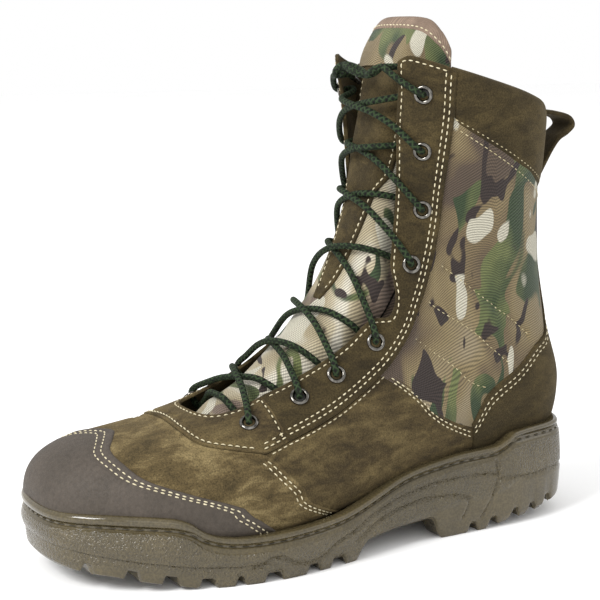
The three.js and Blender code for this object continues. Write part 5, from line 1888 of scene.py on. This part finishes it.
    def half(self, side: int) -> List[Array]:
        """One half of the lace from the lowest eyelet to its end.

        Args:
            side: 1 for the half that starts on the outer side, and -1 for the other.

        Returns:
            Points of the route.
        """
        points: List[Array] = []
        for k in range(len(EYELETS) - 1):
            near = -side if k % 2 else side
            height = self.high if side > 0 else self.low
            points += self.crossing(self.spot(near, k), self.spot(-near, k + 1), height)
        last = -side if (len(EYELETS) - 1) % 2 else side
        return points + self.tucked_end(last)

    def add_lace(self) -> None:
        """Sweeps a round section along the route, turned by rotation-minimising steps.

        The route is a centripetal spline through its points, smoothed once and read at equal
        steps of its length.
        """
        route = np.array(self.half(-1)[::-1] + self.bottom_bar() + self.half(1))
        gaps = np.sqrt(np.linalg.norm(np.diff(route, axis=0), axis=1))
        knots = np.concatenate([[0], np.cumsum(gaps)])
        dense_at = np.linspace(0, knots[-1], 9000)
        slope = np.gradient(route, knots, axis=0)
        i = np.clip(np.searchsorted(knots, dense_at, side="right") - 1, 0, len(knots) - 2)
        span = (knots[i + 1] - knots[i])[:, None]
        f = ((dense_at - knots[i])[:, None]) / span
        dense = (route[i] * (2 * f**3 - 3 * f**2 + 1) + slope[i] * span * (f**3 - 2 * f**2 + f)
                 + route[i + 1] * (3 * f**2 - 2 * f**3) + slope[i + 1] * span * (f**3 - f**2))
        reach = np.concatenate([[0], np.cumsum(np.linalg.norm(np.diff(dense, axis=0), axis=1))])
        at = np.arange(0, reach[-1], 0.9)
        path = np.stack([np.interp(at, reach, dense[:, k]) for k in range(3)], -1)
        path[1:-1] = 0.25 * path[:-2] + 0.5 * path[1:-1] + 0.25 * path[2:]
        tangent = np.gradient(path, axis=0)
        tangent /= np.linalg.norm(tangent, axis=1, keepdims=True)
        side = np.empty_like(path)
        side[0] = np.cross(tangent[0], (0.0, 0.0, 1.0))
        for k in range(1, len(path)):
            side[k] = side[k - 1] - tangent[k] * np.dot(side[k - 1], tangent[k])
            side[k] /= np.linalg.norm(side[k])
        other = np.cross(tangent, side)
        sides = 16
        angle = np.radians(np.arange(sides) * 360 / sides)
        cos, sin = np.cos(angle)[None, :, None], np.sin(angle)[None, :, None]
        rings = path[:, None] + self.radius * (cos * side[:, None] + sin * other[:, None])
        points, faces = closed_tube(rings)
        around = angle * self.radius
        uv = np.stack(np.broadcast_arrays(at[:, None], around[None]), -1).reshape(-1, 2)
        Piece("lace_cord", points, faces, CORD, "lace_cord", replaces=("lace",), uv=uv,
              sharp=80).add()
        log.info("lace length %.0f mm", reach[-1])

    def add(self) -> None:
        """Builds the eyelets and the lace."""
        self.add_eyelets()
        self.add_lace()


# ---------------------------------------------------------------- zip and pull loop

@dataclass
class SideZip:
    """Straight zip on the inner side: tapes, teeth, slider and pull."""

    pitch: float = 2.4
    tooth: Tuple[float, float, float] = (2.2, 3.0, 1.35)

    def add_teeth(self) -> None:
        """Teeth as bevelled blocks, repeated up both tapes, on thin woven tapes."""
        for node, sign in (("zip_tape_front", -1), ("zip_tape_rear", 1)):
            low, high = (np.array(corner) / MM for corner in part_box(node))
            foot = np.array([high[0] - 1.4, 0, low[2]])
            head = np.array([low[0] + 1.4, 0, high[2]])
            up = (head - foot) / np.linalg.norm(head - foot)
            into = np.array([up[2], 0, -up[0]])
            middle = (low[1] + high[1]) / 2
            line_y = middle - sign * (high[1] - low[1]) / 2
            count = int(np.linalg.norm(head - foot) / self.pitch)
            depth, width, height = (size / 2 for size in self.tooth)
            outline = ((-1, -0.6), (-0.6, -1), (0.6, -1), (1, -0.6), (1, 0.6), (0.6, 1),
                       (-0.6, 1), (-1, 0.6))
            corners = np.array([(x, y, z) for z in (-1, 1) for x, y in outline], float)
            corners *= (depth, width, height)
            step = (np.arange(count) + 0.5 + (0.5 if sign > 0 else 0)) * self.pitch
            centre = foot + step[:, None] * up
            centre[:, 1] = line_y + sign * 1.15
            basis = np.stack([into, (0, 1, 0), up])
            points = centre[:, None] + (corners @ basis)[None] - OFFSET
            _, faces = closed_tube(points[0].reshape(2, 8, 3))
            every = [[k + j * 16 for k in face] for j in range(count) for face in faces]
            Piece(f"{node}_teeth", points.reshape(-1, 3), every, PLASTIC, "plastic",
                  sharp=30).add()
            u = np.linspace(0, 1, 60)[:, None]
            v = np.linspace(0, 1, 10)[None]
            face = foot + u[..., None] * (head - foot)
            face = np.broadcast_to(face, (60, 10, 3)).copy()
            face[..., 1] = line_y + sign * lerp(0.6, abs(high[1] - low[1]), v)
            face += into * (0.25 * np.sin(v * 9))[..., None]
            points, quads = closed_sheet(face - into * 0.35 - OFFSET, face + into * 0.35 - OFFSET)
            Piece(f"{node}_cloth", points, quads, ZIP_CLOTH, "zip_tape", replaces=(node,),
                  sharp=60).add()

    def add_guard(self) -> None:
        """Cloth guard behind the zip."""
        front, rear = (beside_zip(offset, 10.05, 14.6) for offset in (-15, 15))
        Panel("zip_guard_cloth", ("zip_gusset",), front, rear, -9.1, FLEECE, "fleece",
              columns=70, rows=20, under=0.0, thickness=0.9, waviness=0.2, held="stretched").add()

    def soften(self, node: str, body: str, width: float) -> None:
        """Copy of a hard node with its edges rounded.

        Args:
            node: Name of the node.
            body: Body that it rides on.
            width: Width of the rounding in millimetres.
        """
        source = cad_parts[node]
        mesh = source.data.copy()
        work = bmesh.new()
        work.from_mesh(mesh)
        bmesh.ops.remove_doubles(work, verts=work.verts, dist=1e-6)
        bmesh.ops.dissolve_limit(work, angle_limit=math.radians(2), verts=work.verts,
                                 edges=work.edges)
        work.to_mesh(mesh)
        work.free()
        piece = bpy.data.objects.new(f"{node}_cast", mesh)
        bpy.context.scene.collection.objects.link(piece)
        mesh.materials.clear()
        mesh.materials.append(material(NICKEL))
        bevel = piece.modifiers.new("rounded edges", "BEVEL")
        bevel.width = width * MM
        bevel.segments = 3
        bevel.limit_method = "ANGLE"
        mesh.polygons.foreach_set("use_smooth", np.ones(len(mesh.polygons), bool))
        mesh.set_sharp_from_angle(angle=math.radians(40))
        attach(piece, body)
        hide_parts(node)
        log.info("%s_cast on %s", node, body)

    def add(self) -> None:
        """Builds the zip."""
        self.add_teeth()
        self.add_guard()
        self.soften("zip_slider", "zip_slider", 0.35)
        self.soften("zip_pull", "zip_pull", 0.3)
        self.soften("zip_bottom_stop", "boot", 0.4)


@dataclass
class PullLoop:
    """Folded suede strap sewn to the back of the collar."""

    width: float = 19.0
    thickness: float = 2.8
    top: float = 226.0
    foot: float = 190.0

    def back_at(self, z: float) -> float:
        """Depth of the form's back at a height.

        Args:
            z: The height in millimetres.

        Returns:
            The depth in millimetres.
        """
        t = np.linspace(11, 15, 400)
        points = FORM.point(t, np.full(400, 180.0))
        return float(np.interp(z, points[:, 2], points[:, 1]))

    def add(self) -> None:
        """Carries a rounded rectangle, from powers of sine and cosine, along the strap's path."""
        back_top, back_foot = self.back_at(self.top), self.back_at(self.foot)
        way = np.array([
            *((back_top + out, self.top + up) for out, up in (
                (2.4, 3), (6, 2), (17, 0.5), (26, -2), (29, -6.5), (25, -10.5), (19, -14),
                (14, -20))),
            (back_foot + 11, self.foot + 7), (back_foot + 3, self.foot - 6),
        ])
        path = spline(way, np.linspace(0, len(way) - 1, 120))
        tangent = np.gradient(path, axis=0)
        tangent /= np.linalg.norm(tangent, axis=1, keepdims=True)
        out = np.stack([-tangent[:, 1], tangent[:, 0]], -1)
        angle = np.linspace(0, 2 * np.pi, 41)[:-1]
        power = 0.35
        across = np.sign(np.cos(angle)) * np.abs(np.cos(angle)) ** power * self.width / 2
        proud = np.sign(np.sin(angle)) * np.abs(np.sin(angle)) ** power * self.thickness / 2
        rings = np.empty((len(path), 40, 3))
        rings[..., 0] = across[None]
        rings[..., 1:] = path[:, None] + out[:, None] * proud[None, :, None]
        points, faces = closed_tube(rings)
        strap = Piece("pull_loop_strap", points, faces, SUEDE_SHAFT, "suede", body="", sharp=60,
                      replaces=("pull_loop",)).add()
        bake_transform(strap)


# ---------------------------------------------------------------- inside

@dataclass
class Inside:
    """Fleece lining and footbed, and finishes for the pieces that nothing shows."""

    def add_lining(self) -> None:
        """Fleece sheets that face the foot."""
        low, high, split = 6.3, 14.3, 10.0
        front = by_section(lambda t: STAY_REAR(t) + 3, low, high)
        rear = edge(((6.3, 104), (7.3, 106), (8.3, 110), (9.1, 120), (9.9, 145), (10.8, 170),
                     (11.8, 177), (13.3, 179.6), (14.3, 179.6)))
        common = {"finish": FLEECE, "slot": "fleece", "under": 0.0, "thickness": 1.1,
                  "waviness": 0.2, "held": "stretched"}
        Panel("lining_fleece_lateral", ("lining_lateral",), front, rear, -7.2, columns=90, rows=60,
              **common).add()
        share = np.linspace(0, 1, 200)
        front_split = (split - low) / (high - low)
        rear_split = np.interp(split, rear(share)[:, 0], share)
        inner_front, inner_rear = mirrored(front), mirrored(rear)
        Panel("lining_fleece_medial_front", ("lining_medial",), part(inner_front, front_split, 1.0),
              beside_zip(-10.5, split, high), -7.2, columns=70, rows=24, **common).add()
        Panel("lining_fleece_medial_rear", (), beside_zip(10.5, split, high),
              part(inner_rear, rear_split, 1.0), -7.2, columns=70, rows=36, **common).add()
        Panel("lining_fleece_medial_low", (), part(inner_front, 0.0, front_split),
              part(inner_rear, 0.0, rear_split), -7.2, columns=50, rows=60, **common).add()
        Panel("lining_fleece_vamp", ("lining_vamp",), round_at(2.4, -104, 104),
              round_at(4.75, -104, 104), -7.2, columns=90, rows=30, **common).add()
        outline = ((1.2, 1), (3, 1), (5, 1), (7, 1), (8.4, 1), (9.05, 0.9), (9.45, 0.6),
                   (9.7, 0.25))
        inner, outer = (edge([(t, 180 + side * 34 * share) for t, share in outline])
                        for side in (-1, 1))
        Panel("footbed_fleece", ("footbed",), inner, outer, -3.3, columns=110, rows=40,
              **{**common, "thickness": 3.6, "held": ""}).add()

    def dress(self) -> None:
        """Finishes for the nodes that stay as the frame has them."""
        finishes = {
            "shank": STEEL, "insole_board": BOARD, "toe_puff": PLASTIC, "heel_counter": PLASTIC,
            "insulation_vamp": WADDING, "insulation_lateral": WADDING,
            "insulation_medial": WADDING, "aglet_1": PLASTIC, "aglet_2": PLASTIC,
        }
        for node, finish in finishes.items():
            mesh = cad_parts[node].data
            mesh.materials.clear()
            mesh.materials.append(material(finish))
            log.info("%s dressed in %s", node, finish.name)

    def add(self) -> None:
        """Builds the lining and dresses the rest."""
        self.add_lining()
        self.dress()


# ---------------------------------------------------------------- studio

@dataclass
class Studio:
    """Camera, soft lights and a plain pale floor."""

    azimuth: float = 61.0
    elevation: float = 9.3
    distance: float = 850.0
    target: Tuple[float, float, float] = (0.0, 4.0, 135.0)
    lens: float = 95.1
    shift: Tuple[float, float] = (-10 / 600, -9 / 600)

    def add_camera(self) -> None:
        """Camera on a sphere round its target."""
        az, el = math.radians(self.azimuth), math.radians(self.elevation)
        back = Vector((math.sin(az) * math.cos(el), -math.cos(az) * math.cos(el), math.sin(el)))
        data = bpy.data.cameras.new("camera")
        data.lens = self.lens
        data.sensor_width = 36
        data.shift_x, data.shift_y = self.shift
        data.clip_end = 20
        camera = bpy.data.objects.new("camera", data)
        target = Vector((np.array(self.target) + OFFSET) * MM)
        camera.location = target + back * self.distance * MM
        camera.rotation_euler = back.to_track_quat("Z", "Y").to_euler()
        bpy.context.scene.collection.objects.link(camera)
        bpy.context.scene.camera = camera

    def add_light(self, name: str, place: Tuple[float, float, float], size: float,
                  power: float) -> None:
        """Square soft light aimed at the boot.

        Args:
            name: Name of the light.
            place: Where it hangs, in metres.
            size: Length of its side in metres.
            power: Power in watts.
        """
        data = bpy.data.lights.new(name, "AREA")
        data.size = size
        data.energy = power
        light = bpy.data.objects.new(name, data)
        light.location = place
        aim = Vector((0, 0, 0.12)) - Vector(place)
        light.rotation_euler = aim.to_track_quat("-Z", "Y").to_euler()
        bpy.context.scene.collection.objects.link(light)

    def add(self) -> None:
        """Builds the studio."""
        self.add_camera()
        self.add_light("key", (0.5, -2.0, 1.7), 1.0, 62)
        self.add_light("fill", (2.0, -0.6, 1.2), 1.6, 8)
        self.add_light("rear", (0.6, 1.8, 1.4), 1.2, 4)
        world = bpy.data.worlds.new("studio")
        world.use_nodes = True
        background = world.node_tree.nodes["Background"]
        background.inputs["Color"].default_value = (1, 1, 1, 1)
        background.inputs["Strength"].default_value = 1.0
        bpy.context.scene.world = world
        mesh = bpy.data.meshes.new("floor")
        half = 6.0
        corners = [(x * half, y * half, 0) for x, y in ((-1, -1), (1, -1), (1, 1), (-1, 1))]
        mesh.from_pydata(corners, [], [(0, 1, 2, 3)])
        mesh.materials.append(material(SWEEP))
        floor = bpy.data.objects.new("floor", mesh)
        bpy.context.scene.collection.objects.link(floor)
        bpy.context.scene.view_settings.view_transform = "Standard"


def main() -> None:
    """Builds the studio and each sub-assembly in order."""
    parts = (Studio(), Lacing(), Sole(), Upper(), Tongue(), SideZip(), PullLoop(), Inside())
    for assembly in parts:
        log.info("== %s", type(assembly).__name__)
        assembly.add()


if __name__ == "__main__":
    main()
